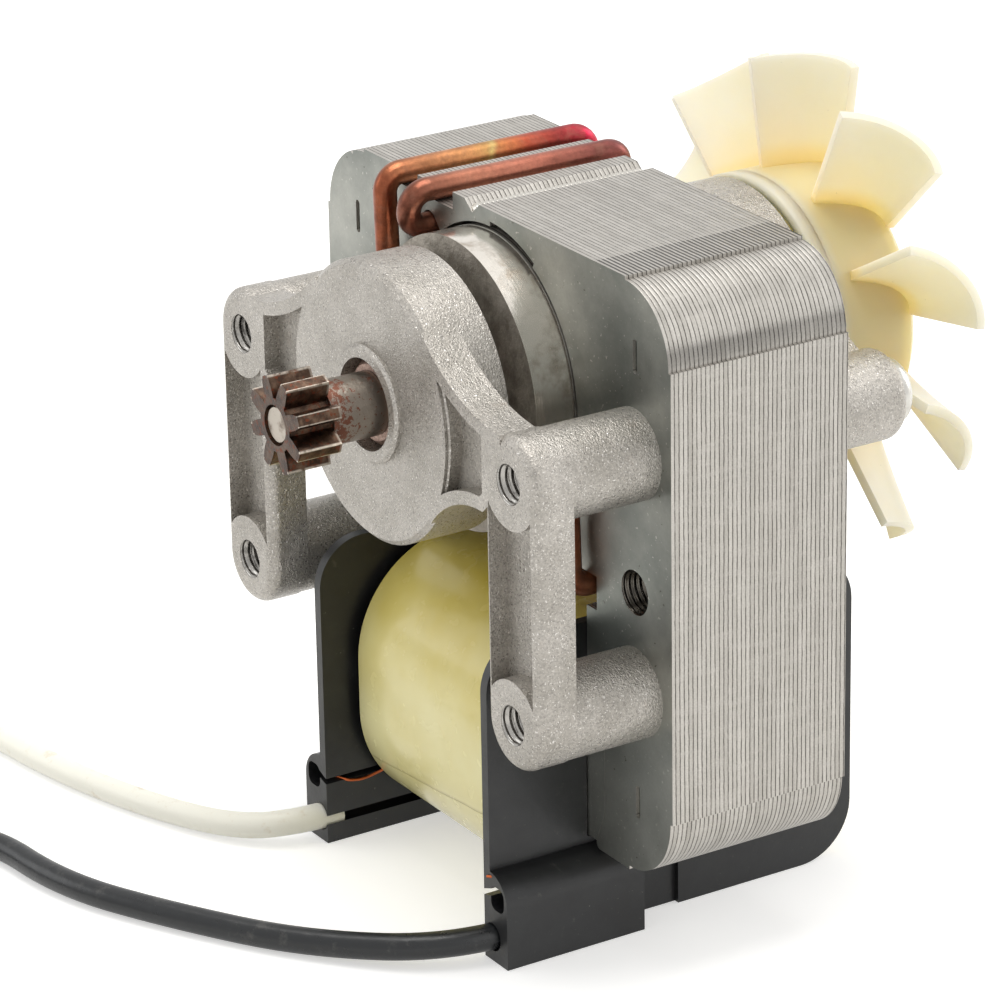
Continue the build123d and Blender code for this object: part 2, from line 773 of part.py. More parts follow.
# Fan blade: radial lines carried along one curve, cut to the fan's radius
def blade_section(distance):
    """Outline of a blade on the plane at this distance to the side of the shaft."""
    heights = [distance * tan(radians(angle)) for angle in blade_curve_angles]
    curve = Spline(*zip(blade_curve_depths, heights), mode=Mode.PRIVATE)
    ends = [0.0, 0.25, 0.5, 0.75, 1.0]
    half = blade_thickness / 2
    inner = []
    outer = []
    for share in ends:
        middle = curve @ share
        along = curve % share
        inner.append((middle.X - half * along.Y, middle.Y + half * along.X))
        outer.append((middle.X + half * along.Y, middle.Y - half * along.X))
    return inner, outer


with BuildPart() as blade:
    for distance in (hub_radius - blade_root_sink, fan_radius + blade_thickness):
        inner_side, outer_side = blade_section(distance)
        with BuildSketch(sideways(distance)):
            with BuildLine():
                Spline(*inner_side)
                Line(inner_side[-1], outer_side[-1])
                Spline(*reversed(outer_side))
                Line(outer_side[0], inner_side[0])
            make_face()
    loft(ruled=True)
    with BuildSketch(across(stack_depth)):
        Circle(fan_radius)
    extrude(amount=-2 * stack_depth, mode=Mode.INTERSECT)

# Fan: the hub cup with its boss, and a blade at every step round it
with BuildPart() as fan:
    with BuildSketch(lengthwise):
        with BuildLine():
            Polyline(
                (hub_radius, hub_front),
                (hub_radius, hub_rear - hub_edge),
                (hub_radius - hub_edge, hub_rear),
                (shaft_bore, hub_rear),
                (shaft_bore, hub_rear - fan_boss_length),
                (fan_boss_radius, hub_rear - fan_boss_length),
                (fan_boss_radius, hub_rear - hub_wall),
                (hub_radius - hub_wall, hub_rear - hub_wall),
                (hub_radius - hub_wall, hub_front),
                close=True,
            )
        make_face()
    revolve(axis=shaft_axis)
    for step in range(blade_count):
        add(blade.part.rotate(front_turn, leading_edge_angle + 360 * step / blade_count))
fan.part.label = "fan"
export_step(fan.part, "parts/fan.step")


# Leads: straight runs joined by arcs as large as the runs allow
def lead_radii(points):
    """Arc for each corner: 0.45 of the shorter run over the tangent of half the turn."""
    corners = [Vector(*point) for point in points]
    radii = []
    for before, corner, after in zip(corners, corners[1:], corners[2:]):
        run_in = corner - before
        run_out = after - corner
        half_turn = radians(run_in.get_angle(run_out) / 2)
        radii.append(0.45 * min(run_in.length, run_out.length) / tan(half_turn))
    return radii


def lead(points):
    """Tube of the lead's diameter along its route, and the route's length."""
    radii = lead_radii(points)
    with BuildPart() as tube:
        with BuildLine():
            route = FilletPolyline(*points, radius=radii)
        with BuildSketch(Plane(origin=route @ 0, z_dir=route % 0)):
            Circle(lead_radius)
        sweep(path=route)
    expected = pi * lead_radius**2 * route.length
    print("lead radii", [round(radius, 1) for radius in radii])
    print("lead length", round(route.length, 1), "volume", round(tube.part.volume / expected, 4))
    return tube


def stripped_end(points):
    """Tinned end that carries the lead's last run on."""
    last = Vector(*points[-1])
    heading = (last - Vector(*points[-2])).normalized()
    with BuildPart() as core:
        with BuildSketch(Plane(origin=last, z_dir=heading)):
            Circle(strip_radius)
        extrude(amount=strip_length)
    return core


groove_height = shaft_height + groove_z
lying = floor_height + lead_radius
white_route = [
    (-groove_x, 6.3, groove_height),
    (-groove_x, 0.3, groove_height),
    (-20.3, -5.0, groove_height - 0.85),
    (-31.0, -9.7, lying),
    (-44.2, -13.3, lying),
    (-58.0, -15.0, lying),
    (-74.0, -17.7, lying),
    (-81.2, -26.5, lying),
    (-81.4, -37.9, lying),
    (-74.2, -46.7, lying),
    (-62.9, -48.6, lying),
    (-53.0, -42.9, lying),
    (-49.2, -32.2, lying),
]
black_route = [
    (groove_x, 5.9, groove_height),
    (groove_x, -1.8, groove_height - 0.1),
    (5.6, -12.1, lying),
    (-7.2, -19.9, lying),
    (-19.5, -25.7, lying),
    (-34.0, -26.7, lying),
    (-43.2, -35.6, lying),
    (-44.4, -48.3, lying),
    (-37.3, -58.9, lying),
    (-25.1, -62.5, lying),
    (-13.4, -57.4, lying),
    (-7.8, -46.0, lying),
]
for colour, points in (("white", white_route), ("black", black_route)):
    wire = lead(points)
    wire.part.label = f"lead_{colour}"
    export_step(wire.part, f"parts/lead_{colour}.step")
    end = stripped_end(points)
    end.part.label = f"lead_{colour}_end"
    export_step(end.part, f"parts/lead_{colour}_end.step")
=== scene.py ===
import json
import logging
import math
from collections.abc import Callable, Mapping
from dataclasses import dataclass
from enum import Enum
from typing import ClassVar

import bpy
import numpy as np
from mathutils import Matrix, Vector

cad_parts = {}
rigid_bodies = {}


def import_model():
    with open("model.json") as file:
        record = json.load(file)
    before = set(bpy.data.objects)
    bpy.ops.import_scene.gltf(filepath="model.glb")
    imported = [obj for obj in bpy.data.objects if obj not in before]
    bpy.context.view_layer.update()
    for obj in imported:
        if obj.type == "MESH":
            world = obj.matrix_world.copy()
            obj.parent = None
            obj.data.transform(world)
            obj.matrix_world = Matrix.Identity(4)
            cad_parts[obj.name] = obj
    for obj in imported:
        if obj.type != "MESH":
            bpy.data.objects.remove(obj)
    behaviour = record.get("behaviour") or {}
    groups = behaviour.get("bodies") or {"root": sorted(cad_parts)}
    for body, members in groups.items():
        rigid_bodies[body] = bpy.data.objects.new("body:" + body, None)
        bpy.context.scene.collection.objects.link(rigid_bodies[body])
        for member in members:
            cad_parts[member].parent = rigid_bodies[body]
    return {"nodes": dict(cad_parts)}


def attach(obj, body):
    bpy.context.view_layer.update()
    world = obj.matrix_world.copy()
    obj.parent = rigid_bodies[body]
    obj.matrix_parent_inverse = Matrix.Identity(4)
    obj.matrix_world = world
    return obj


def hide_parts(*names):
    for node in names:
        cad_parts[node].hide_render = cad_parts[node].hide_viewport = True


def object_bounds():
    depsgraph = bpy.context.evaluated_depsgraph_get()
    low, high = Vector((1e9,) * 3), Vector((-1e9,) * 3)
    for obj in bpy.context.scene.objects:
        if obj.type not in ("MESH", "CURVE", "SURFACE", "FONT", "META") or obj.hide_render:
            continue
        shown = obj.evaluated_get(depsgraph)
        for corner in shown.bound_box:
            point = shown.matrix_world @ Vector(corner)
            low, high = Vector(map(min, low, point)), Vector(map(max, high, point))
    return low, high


for spare in list(bpy.data.objects):
    bpy.data.objects.remove(spare)
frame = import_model()
cad_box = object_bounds()

logging.basicConfig(level=logging.INFO, format="%(message)s")
log = logging.getLogger("motor")

MM = 0.001
TIP_RADIUS = 0.001
Triple = tuple[float, float, float]
Colour = Triple
Array = np.ndarray
Material = bpy.types.Material
Socket = bpy.types.NodeSocket
Piece = bpy.types.Object
Shade = Colour | Socket


def paint(red: int, green: int, blue: int) -> Colour:
    """Linear colour of a paint written as 0 to 255 values."""

    def linear(level: int) -> float:
        """The display curve undone for one channel."""
        share = level / 255
        return share / 12.92 if share <= 0.04045 else ((share + 0.055) / 1.055) ** 2.4

    return linear(red), linear(green), linear(blue)


class Blend(Enum):
    """Ways to lay one colour over another."""

    OVER = "MIX"
    TIMES = "MULTIPLY"


def operator(operation: str) -> Callable[..., "Level"]:
    """Method of Level that puts one Math node on the level and the other terms."""

    def apply(level: "Level", *others: "Level | float") -> "Level":
        """Adds the node."""
        return level.graph.maths(operation, level, *others)

    return apply


class Level:
    """A number socket that takes part in Python expressions; each operator adds a Math node.

    The remainder stays positive, and smaller takes the smaller of two.
    """

    __add__ = __radd__ = operator("ADD")
    __sub__ = operator("SUBTRACT")
    __mul__ = __rmul__ = operator("MULTIPLY")
    __truediv__ = operator("DIVIDE")
    __pow__ = operator("POWER")
    __mod__ = operator("FLOORED_MODULO")
    __abs__ = operator("ABSOLUTE")
    floor = operator("FLOOR")
    smaller = operator("MINIMUM")

    def __init__(self, graph: "Graph", socket: Socket) -> None:
        """Wraps one output socket of a graph."""
        self.graph = graph
        self.socket = socket

    def __rsub__(self, other: float) -> "Level":
        """Difference from a number, such as 1 - mask."""
        return self.graph.maths("SUBTRACT", other, self)

    def step(self, low: float, high: float) -> "Level":
        """Smooth step from 0 at low to 1 at high; it falls where low is over high."""
        flip = low > high
        ends = {"From Min": min(low, high), "From Max": max(low, high), "Value": self}
        node = self.graph.node("ShaderNodeMapRange", {"interpolation_type": "SMOOTHSTEP"}, ends)
        rising = Level(self.graph, node.outputs["Result"])
        return 1 - rising if flip else rising

    def between(self, low: float, high: float) -> "Level":
        """A 0 to 1 level carried to the range from low to high."""
        return self * (high - low) + low


class Graph:
    """The node graph of one material, which ends in a Principled shader."""

    def __init__(self, name: str) -> None:
        """Starts an empty graph with places in millimetres.

        Args:
            name: name of the material.
        """
        self.material = bpy.data.materials.new(name)
        self.material.use_nodes = True
        self.tree = self.material.node_tree
        self.tree.nodes.clear()
        where = self.node("ShaderNodeTexCoord")
        values = {0: where.outputs["Object"], "Scale": 1 / MM}
        self.place = self.node("ShaderNodeVectorMath", {"operation": "SCALE"}, values).outputs[0]
        self.x, self.y, self.z = self.parts(self.place)
        _, self.along, self.upward = self.parts(where.outputs["Normal"])

    def node(
        self,
        kind: str,
        settings: Mapping[str, object] | None = None,
        values: Mapping[str | int, object] | None = None,
    ) -> bpy.types.Node:
        """Adds a node, sets it up and fills its sockets.

        Args:
            kind: the node's type.
            settings: its settings, set before its sockets; stops fills a colour ramp.
            values: a number, colour or link for each socket, by name or index.

        Returns:
            The new node.
        """
        node = self.tree.nodes.new(kind)
        for key, setting in (settings or {}).items():
            if key == "stops":
                ramp = node.color_ramp
                while len(ramp.elements) < len(setting):
                    ramp.elements.new(1.0)
                for element, (place, colour) in zip(ramp.elements, setting):
                    element.position = place
                    element.color = (*colour, 1.0)
            else:
                setattr(node, key, setting)
        for key, value in (values or {}).items():
            source = value.socket if isinstance(value, Level) else value
            if isinstance(source, Socket):
                self.tree.links.new(source, node.inputs[key])
            elif isinstance(source, tuple) and node.inputs[key].type == "RGBA":
                node.inputs[key].default_value = (*source, 1.0)
            else:
                node.inputs[key].default_value = source
        return node

    def maths(self, operation: str, *terms: Level | float) -> Level:
        """One Math node on levels and numbers."""
        node = self.node("ShaderNodeMath", {"operation": operation}, dict(enumerate(terms)))
        return Level(self, node.outputs[0])

    def parts(self, vector: Socket) -> tuple[Level, Level, Level]:
        """The three numbers of a vector."""
        node = self.node("ShaderNodeSeparateXYZ", values={0: vector})
        return tuple(Level(self, socket) for socket in node.outputs)

    def stretched(self, scale: Triple) -> Socket:
        """Place in millimetres, multiplied axis by axis."""
        values = {"Vector": self.place, "Scale": scale}
        return self.node("ShaderNodeMapping", {"vector_type": "POINT"}, values).outputs[0]

    def off_axis(self, height: float) -> tuple[Level, Level]:
        """Distance from the shaft's line, and the rise over it, where the line lies at a height."""
        rise = self.z - height
        return (self.x * self.x + rise * rise) ** 0.5, rise

    def noise(
        self,
        size: float,
        detail: float = 2.0,
        rough: float = 0.5,
        bend: float = 0.0,
        stretch: Triple = (1.0, 1.0, 1.0),
    ) -> Level:
        """Cloudy level around 0.5.

        Args:
            size: width of its largest features in millimetres.
            detail: number of finer octaves.
            rough: weight of the finer octaves.
            bend: how far it is distorted.
            stretch: share of the scale kept on each axis.

        Returns:
            The level.
        """
        vector = self.place if stretch == (1.0, 1.0, 1.0) else self.stretched(stretch)
        values = {"Vector": vector, "Scale": 1 / size, "Detail": detail}
        values |= {"Roughness": rough, "Distortion": bend}
        return Level(self, self.node("ShaderNodeTexNoise", values=values).outputs[0])

    def spots(self, size: float, low: float, high: float, detail: float = 3.0, rough: float = 0.7) -> Level:
        """Spots or clouds of this size: noise stepped from 0 at low to 1 at high."""
        return self.noise(size, detail, rough).step(low, high)

    def grains(self, size: float) -> tuple[Level, Level]:
        """Cells of this size in millimetres: the distance from each centre, and one random level a cell."""
        node = self.node("ShaderNodeTexVoronoi", values={"Vector": self.place, "Scale": 1 / size})
        tone = self.parts(node.outputs["Color"])[0]
        return Level(self, node.outputs["Distance"]), tone

    def dice(self, number: Level) -> Level:
        """One random level for each value of a number."""
        node = self.node("ShaderNodeTexWhiteNoise", {"noise_dimensions": "1D"}, {"W": number})
        return Level(self, node.outputs["Value"])

    def mix(self, share: Level | float, under: Shade, over: Shade, how: Blend = Blend.OVER) -> Socket:
        """Lays one colour over another by a share."""
        settings = {"data_type": "RGBA", "blend_type": how.value, "clamp_factor": True}
        return self.node("ShaderNodeMix", settings, {0: share, 6: under, 7: over}).outputs[2]

    def shaded(self, colour: Shade, level: Level | float) -> Socket:
        """A colour times a level."""
        grey = self.node("ShaderNodeCombineXYZ", values={0: level, 1: level, 2: level}).outputs[0]
        return self.mix(1.0, colour, grey, Blend.TIMES)

    def relief(self, height: Level, depth: float, under: Socket | None = None) -> Socket:
        """Bump from a 0 to 1 height.

        Args:
            height: the height level.
            depth: what a height of 1 stands for, in millimetres.
            under: the normal that it is added to.

        Returns:
            The bumped normal.
        """
        values = {"Height": height, "Distance": depth * MM}
        if under is not None:
            values["Normal"] = under
        return self.node("ShaderNodeBump", values=values).outputs[0]

    def finish(
        self,
        colour: Shade,
        rough: Level | float,
        metal: Level | float = 0.0,
        normal: Socket | None = None,
        **constants: float | Colour,
    ) -> Material:
        """Ends the graph in a Principled shader.

        Args:
            colour: base colour.
            rough: roughness.
            metal: metallic share.
            normal: the bumped normal, if there is one.
            constants: other sockets of the shader, with underscores for spaces.

        Returns:
            The material.
        """
        values: dict[str, object] = {"Base Color": colour, "Roughness": rough, "Metallic": metal}
        if normal is not None:
            values["Normal"] = normal
        for key, value in constants.items():
            values[key.replace("_", " ")] = value
        shader = self.node("ShaderNodeBsdfPrincipled", values=values)
        self.node("ShaderNodeOutputMaterial", values={"Surface": shader.outputs[0]})
        return self.material


@dataclass(frozen=True)
class LaminatedSteel:
    """Sheet steel punchings, blued on their faces and bright and ridged on their cut edges."""

    sheet: float = 0.5
    first_face: float = 13.9
    face_tone: Colour = paint(170, 170, 163)
    face_deep: Colour = paint(118, 122, 117)
    face_fleck: Colour = paint(72, 68, 58)
    edge_light: Colour = paint(202, 198, 192)
    edge_dark: Colour = paint(160, 156, 149)
    seam_tone: Colour = paint(66, 62, 57)
    strip_tone: Colour = paint(46, 42, 38)
    strip_from: float = 18.2
    strip_to: float = 23.35

    def cut_edge(self, g: Graph, index: Level, middle: Level, corner: Level) -> Socket:
        """Sheets of different tones with dark seams, a painted highlight band and a painted shade band on the
        rounded corners, and a dark strip on top.

        Args:
            g: the material's graph.
            index: number of the sheet.
            middle: 0 in the middle of a sheet and 1 at its faces.
            corner: 1 on the edge's rounded corners.
        """
        streak = g.noise(1.8, 3.0, 0.6, stretch=(0.6, 3.0, 0.35))
        tone = g.dice(index) * 0.3 + streak * 0.9 - 0.1
        edge = g.mix(tone, self.edge_dark, self.edge_light)
        edge = g.shaded(edge, g.noise(0.16, 3.0, 0.8).between(0.62, 1.36))
        breaks = g.noise(0.8, 2.0, 0.6, stretch=(1.0, 0.3, 1.0)).step(0.25, 0.6).between(0.55, 1.0)
        edge = g.mix(middle.step(0.64, 0.95) * breaks, edge, self.seam_tone)
        # Painted reflection on the rounded corners: bright is a painted highlight band where they slant
        # upwards, dark a painted shade band just above the side, and the corners are also painted 6 percent
        # darker
        bright = g.upward.step(0.3, 0.45) * g.upward.step(0.75, 0.55)
        dark = g.upward.step(0.03, 0.1) * g.upward.step(0.36, 0.24)
        painted_corner_light_and_shade = bright * 0.16 - dark * 0.36
        painted_corner_light_and_shade = painted_corner_light_and_shade * g.noise(4.0, 2.0, 0.5, stretch=(1.0, 0.25, 1.0)).between(0.5, 1.5)
        edge = g.shaded(edge, painted_corner_light_and_shade + 1.0 - corner * 0.06)
        strip = g.upward.step(0.6, 0.9) * g.x.step(self.strip_from, self.strip_from + 0.15)
        strip = strip * g.x.step(self.strip_to + 0.1, self.strip_to - 0.1)
        return g.mix(strip * middle.step(0.3, 0.7) * 0.85, edge, self.strip_tone)

    def punched_face(self, g: Graph) -> Socket:
        """Clouds of two greys, evened out towards the foot, with dark flecks and bright dust."""
        cloud = g.spots(16.0, 0.3, 0.75, 4.0, 0.6)
        low = g.z.step(-12.0, -24.0)
        cloud = cloud * (1 - low * 0.6) + low * 0.55
        face = g.mix(cloud, self.face_deep, self.face_tone)
        face = g.shaded(face, g.noise(0.4, 3.0, 0.7).between(0.88, 1.12))
        face = g.mix(g.spots(0.9, 0.685, 0.73) * 0.75, face, self.face_fleck)
        return g.mix(g.spots(0.5, 0.655, 0.73, 2.0, 0.7) * 0.7, face, self.edge_light)

    def material(self) -> Material:
        """Cut edges with a ridge a sheet, and flat faces."""
        g = Graph("lamination_steel")
        on_edge = abs(g.along).step(0.75, 0.35)
        wander = g.noise(9.0, 1.0) * 0.12 + g.noise(0.9, 2.0) * 0.1
        turn = (g.y - self.first_face + wander) / self.sheet
        index = turn.floor()
        middle = abs(turn - index - 0.5) * 2
        corner = g.upward.step(0.05, 0.2) * g.upward.step(0.97, 0.85) * on_edge
        colour = g.mix(on_edge, self.punched_face(g), self.cut_edge(g, index, middle, corner))
        height = (1 - middle * middle) * (on_edge - corner * 0.65) + g.dice(index) * on_edge * 0.12
        normal = g.relief(height, 0.035, g.relief(g.noise(0.25, 2.0), 0.008))
        rough = g.noise(3.0, 3.0).between(0.34, 0.5) + on_edge * 0.02
        return g.finish(colour, rough, 0.85, normal)


@dataclass(frozen=True)
class DieCast:
    """Bare die-cast metal, matt with a sparkling grain and a few pits."""

    tone: Colour = paint(186, 181, 174)
    deep: Colour = paint(161, 156, 148)
    dirt_tone: Colour = paint(128, 104, 84)
    pit_tone: Colour = paint(62, 56, 50)
    glint_tone: Colour = paint(238, 235, 230)

    def material(self) -> Material:
        """Tiny cells, each with its own tone and tilt, with glints, brown traces and scattered dark pits."""
        g = Graph("cast_metal")
        distance, tone = g.grains(0.17)
        cloud = g.spots(6.0, 0.25, 0.8, 3.0, 0.6)
        colour = g.mix(cloud, self.deep, self.tone)
        colour = g.shaded(colour, tone.between(0.78, 1.16))
        glint = g.spots(0.19, 0.64, 0.7, 1.0, 0.5)
        colour = g.mix(glint * 0.6, colour, self.glint_tone)
        dirt = g.spots(5.0, 0.6, 0.8, 5.0, 0.75)
        colour = g.mix(dirt * 0.35, colour, self.dirt_tone)
        pits = g.spots(0.8, 0.74, 0.79, 3.0, 0.62)
        colour = g.mix(pits * 0.7, colour, self.pit_tone)
        grain = g.relief(g.noise(0.3, 3.0, 0.7), 0.085, g.relief(distance, 0.04))
        normal = g.relief(g.noise(0.9, 3.0, 0.6) - pits * 0.6, 0.04, grain)
        return g.finish(colour, tone.between(0.26, 0.44) - glint * 0.08, glint.between(0.62, 0.9), normal)


@dataclass(frozen=True)
class BareCopper:
    """Copper wire with heat tints towards its rear bends."""

    front: float = 11.5
    rear: float = 37.0
    film_tone: Colour = paint(150, 112, 94)
    leg_tone: Colour = paint(140, 84, 66)
    axis_height: float = 12.4
    bend_height: float = 15.0
    outer_stops: tuple[tuple[float, Colour], ...] = (
        (0.0, paint(134, 74, 50)), (0.16, paint(186, 124, 86)), (0.38, paint(202, 142, 92)),
        (0.46, paint(196, 150, 92)), (0.485, paint(206, 178, 112)), (0.515, paint(192, 124, 76)),
        (0.63, paint(178, 84, 60)), (0.8, paint(146, 58, 54)), (0.92, paint(196, 44, 72)),
        (1.0, paint(204, 70, 92)),
    )
    inner_stops: tuple[tuple[float, Colour], ...] = (
        (0.0, paint(118, 70, 54)), (0.22, paint(178, 116, 92)), (0.6, paint(174, 106, 88)),
        (0.85, paint(134, 76, 70)), (1.0, paint(136, 80, 78)),
    )

    def material(self) -> Material:
        """Heat tints along the wire, plain on its rear legs, under brown clouds and drawing lines."""
        g = Graph("ring_copper")
        run = (g.y - self.front + g.noise(4.0, 2.0) * 3.0 - 1.5) / (self.rear - self.front)
        outer = g.node("ShaderNodeValToRGB", {"stops": self.outer_stops}, {"Fac": run}).outputs[0]
        inner = g.node("ShaderNodeValToRGB", {"stops": self.inner_stops}, {"Fac": run}).outputs[0]
        colour = g.mix(abs(g.x).step(13.6, 12.9), outer, inner)
        level = abs(g.z - self.axis_height)
        leg = run.step(0.7, 0.85) * level.step(self.bend_height, self.bend_height - 2.0)
        colour = g.mix(leg, colour, self.leg_tone)
        cloud = g.noise(1.8, 4.0, 0.6, 0.0, (1.0, 0.4, 1.0)).step(0.42, 0.75)
        colour = g.shaded(colour, cloud.between(1.06, 0.66))
        colour = g.shaded(colour, g.noise(0.5, 3.0, 0.7).between(0.58, 1.42))
        film = g.noise(2.4, 4.0, 0.7, 0.3).step(0.46, 0.72)
        colour = g.mix(film * 0.32, colour, self.film_tone)
        lines = g.noise(0.35, 3.0, 0.6, stretch=(1.0, 0.08, 1.0))
        normal = g.relief(lines, 0.02, g.relief(g.noise(1.5, 2.0), 0.05))
        return g.finish(colour, cloud.between(0.32, 0.46) + film * 0.06, 0.88, normal)


@dataclass(frozen=True)
class TapeFilm:
    """Glossy pale yellow film wound over the coil, with soft waves and one lap line."""

    # tone is the paler yellow of the painted floor reflection low down, shade the deeper yellow of the
    # painted shade high up
    tone: Colour = paint(253, 245, 184)
    shade: Colour = paint(224, 202, 84)
    painted_reflection_below: float = -29.0
    painted_shade_above: float = -10.0
    # Colour of the painted shadow beside the lap's step
    painted_lap_shadow: Colour = paint(150, 128, 70)
    lap_height: float = -31.6
    lap_slope: float = 0.12
    lap_from: float = -13.9

    def material(self) -> Material:
        """Soft clouds and waves, painted shade deeper towards the top, a painted floor reflection paler
        towards the foot, and the step where the last turn of tape ends, with a painted shadow beside it.
        """
        g = Graph("yellow_tape")
        cloud = g.spots(9.0, 0.3, 0.7, 3.0, 0.5) * 0.3
        # Painted light by height: paler towards the foot as a painted floor reflection, deeper towards the
        # top as painted shade
        rise = g.z + g.noise(7.0, 1.0) * 8.0 - 4.0
        colour = g.mix(cloud + rise.step(self.painted_shade_above, self.painted_reflection_below) * 0.7, self.shade, self.tone)
        above = g.z - self.lap_height - (g.x - self.lap_from) * self.lap_slope + g.noise(6.0, 1.0) * 0.6
        over = above.step(0.08, -0.02)
        # A painted shadow: a dark band along the upper side of the lap's step
        edge = above.step(0.5, 0.0) * (1 - over)
        colour = g.mix(edge * 0.4, colour, self.painted_lap_shadow)
        waves = g.noise(6.0, 0.0, 0.4, 0.0, (0.5, 1.0, 0.7))
        normal = g.relief(over, 0.15, g.relief(waves, 0.3))
        rough = g.noise(2.0, 2.0).between(0.2, 0.32)
        return g.finish(colour, rough, 0.0, normal, Coat_Weight=0.35, Coat_Roughness=0.12)


@dataclass(frozen=True)
class MouldedPlastic:
    """Satin moulded plastic with a fine skin, scuffs and dust."""

    name: str
    tone: Colour
    deep: Colour
    dust_tone: Colour = paint(150, 145, 135)
    dust: float = 0.35
    rough: float = 0.36

    def material(self) -> Material:
        """Two close tones in clouds, short scuffs and dust specks, over a fine orange-peel relief."""
        g = Graph(self.name)
        cloud = g.spots(7.0, 0.3, 0.7, 3.0, 0.6)
        colour = g.mix(cloud, self.deep, self.tone)
        specks = g.spots(0.45, 0.68, 0.78, 3.0, 0.75)
        scuffs = g.noise(1.6, 4.0, 0.7, 0.4, (0.3, 1.0, 1.0)).step(0.62, 0.8)
        colour = g.mix((specks + scuffs * 0.4) * self.dust, colour, self.dust_tone)
        normal = g.relief(g.noise(0.3, 2.0), 0.01, g.relief(g.noise(2.5, 2.0), 0.05))
        rough = g.noise(2.0, 3.0).between(self.rough - 0.08, self.rough + 0.12)
        return g.finish(colour, rough, 0.0, normal)


@dataclass(frozen=True)
class FanNylon:
    """Natural nylon: ivory, and letting some light through."""

    tone: Colour = paint(255, 242, 208)
    shade: Colour = paint(255, 228, 174)
    hub_tone: Colour = paint(255, 214, 142)
    speck_tone: Colour = paint(120, 90, 50)
    axis_height: float = 12.4
    hub_radius: float = 14.3
    hub_front: float = 45.4
    light_reach: Triple = (1.0, 0.85, 0.55)
    light_scale: float = 0.008

    def material(self) -> Material:
        """Deeper ivory near the hub, flow clouds, a few dark specks and a soft skin."""
        g = Graph("cream_nylon")
        radius, _ = g.off_axis(self.axis_height)
        inwards = radius.step(self.hub_radius + 9.0, self.hub_radius - 2.0)
        cloud = g.spots(6.0, 0.25, 0.75, 3.0, 0.5)
        colour = g.mix((inwards * 0.6 + cloud * 0.3), self.tone, self.shade)
        hub = radius.step(self.hub_radius + 2.6, self.hub_radius + 0.6)
        hub = hub * g.y.step(self.hub_front, self.hub_front + 1.5)
        colour = g.mix(hub * 0.7, colour, self.hub_tone)
        specks = g.spots(0.8, 0.74, 0.78)
        colour = g.mix(specks * 0.7, colour, self.speck_tone)
        normal = g.relief(g.noise(0.5, 3.0), 0.01, g.relief(g.noise(5.0, 1.0), 0.12))
        rough = g.noise(2.0, 2.0).between(0.3, 0.42)
        depth = {"Subsurface_Radius": self.light_reach, "Subsurface_Scale": self.light_scale}
        return g.finish(colour, rough, 0.0, normal, Subsurface_Weight=0.7, **depth)


@dataclass(frozen=True)
class Sheath:
    """Extruded lead insulation with handling marks."""

    name: str
    tone: Colour
    smudge: Colour
    rough: float

    def material(self) -> Material:
        """One tone with smudges, fine dust and a slightly uneven skin."""
        g = Graph(self.name)
        smudges = g.spots(2.6, 0.55, 0.75, 4.0, 0.7)
        colour = g.mix(smudges * 0.45, self.tone, self.smudge)
        specks = g.spots(0.35, 0.7, 0.78, 2.0, 0.7)
        colour = g.mix(specks * 0.35, colour, self.smudge)
        normal = g.relief(g.noise(1.6, 2.0), 0.05, g.relief(g.noise(0.25, 2.0), 0.008))
        return g.finish(colour, g.noise(1.5, 2.0).between(self.rough - 0.05, self.rough + 0.12), 0.0, normal)


@dataclass(frozen=True)
class TurnedMetal:
    """Turned or plated metal with fine tool rings and a little tarnish."""

    name: str
    tone: Colour
    tarnish: Colour
    rough: float = 0.28
    marks: float = 0.35
    rings: float = 0.012

    def material(self) -> Material:
        """Tool rings along Y, tarnish clouds and spots of brown."""
        g = Graph(self.name)
        cloud = g.spots(2.2, 0.45, 0.72, 4.0, 0.65)
        colour = g.mix(cloud * self.marks, self.tone, self.tarnish)
        lines = g.noise(0.3, 3.0, 0.6, stretch=(0.05, 1.0, 0.05))
        colour = g.mix(g.spots(0.5, 0.62, 0.7) * self.marks * 0.7, colour, self.tarnish)
        normal = g.relief(lines, self.rings, g.relief(g.noise(0.6, 3.0), 0.01))
        rough = g.noise(1.4, 3.0).between(self.rough - 0.06, self.rough + 0.14) + cloud * 0.12
        return g.finish(colour, rough, 0.95, normal)


@dataclass(frozen=True)
class CageAluminium:
    """Cast aluminium end rings: turned and bright outside, rough and grey on their faces."""

    bright: Colour = paint(234, 228, 218)
    worn: Colour = paint(150, 134, 114)
    face: Colour = paint(188, 180, 168)
    face_deep: Colour = paint(142, 134, 122)
    dirt_tone: Colour = paint(90, 76, 60)

    def material(self) -> Material:
        """Glossy bands with tarnish outside, and scratched matt grey on the faces square to the shaft."""
        g = Graph("cage_aluminium")
        end = abs(g.along).step(0.6, 0.9)
        tarnish = g.spots(3.0, 0.45, 0.75, 4.0, 0.65)
        outside = g.mix(tarnish * 0.7, self.bright, self.worn)
        flat = g.mix(g.spots(2.0, 0.3, 0.7, 4.0, 0.7), self.face_deep, self.face)
        flat = g.shaded(flat, g.noise(0.3, 3.0, 0.7).between(0.8, 1.2))
        colour = g.mix(end, outside, flat)
        dirt = g.spots(0.8, 0.68, 0.76, 4.0, 0.7)
        colour = g.mix(dirt * 0.5, colour, self.dirt_tone)
        lines = g.noise(0.3, 3.0, 0.6, stretch=(0.05, 1.0, 0.05))
        grain = g.relief(g.noise(0.35, 3.0, 0.6) * end, 0.09)
        normal = g.relief(lines * (1 - end), 0.008, g.relief(g.noise(1.4, 3.0), 0.02, grain))
        rough = end * 0.3 + g.noise(1.4, 3.0).between(0.12, 0.24) + tarnish * 0.1
        return g.finish(colour, rough, 0.92 - end * 0.5, normal)


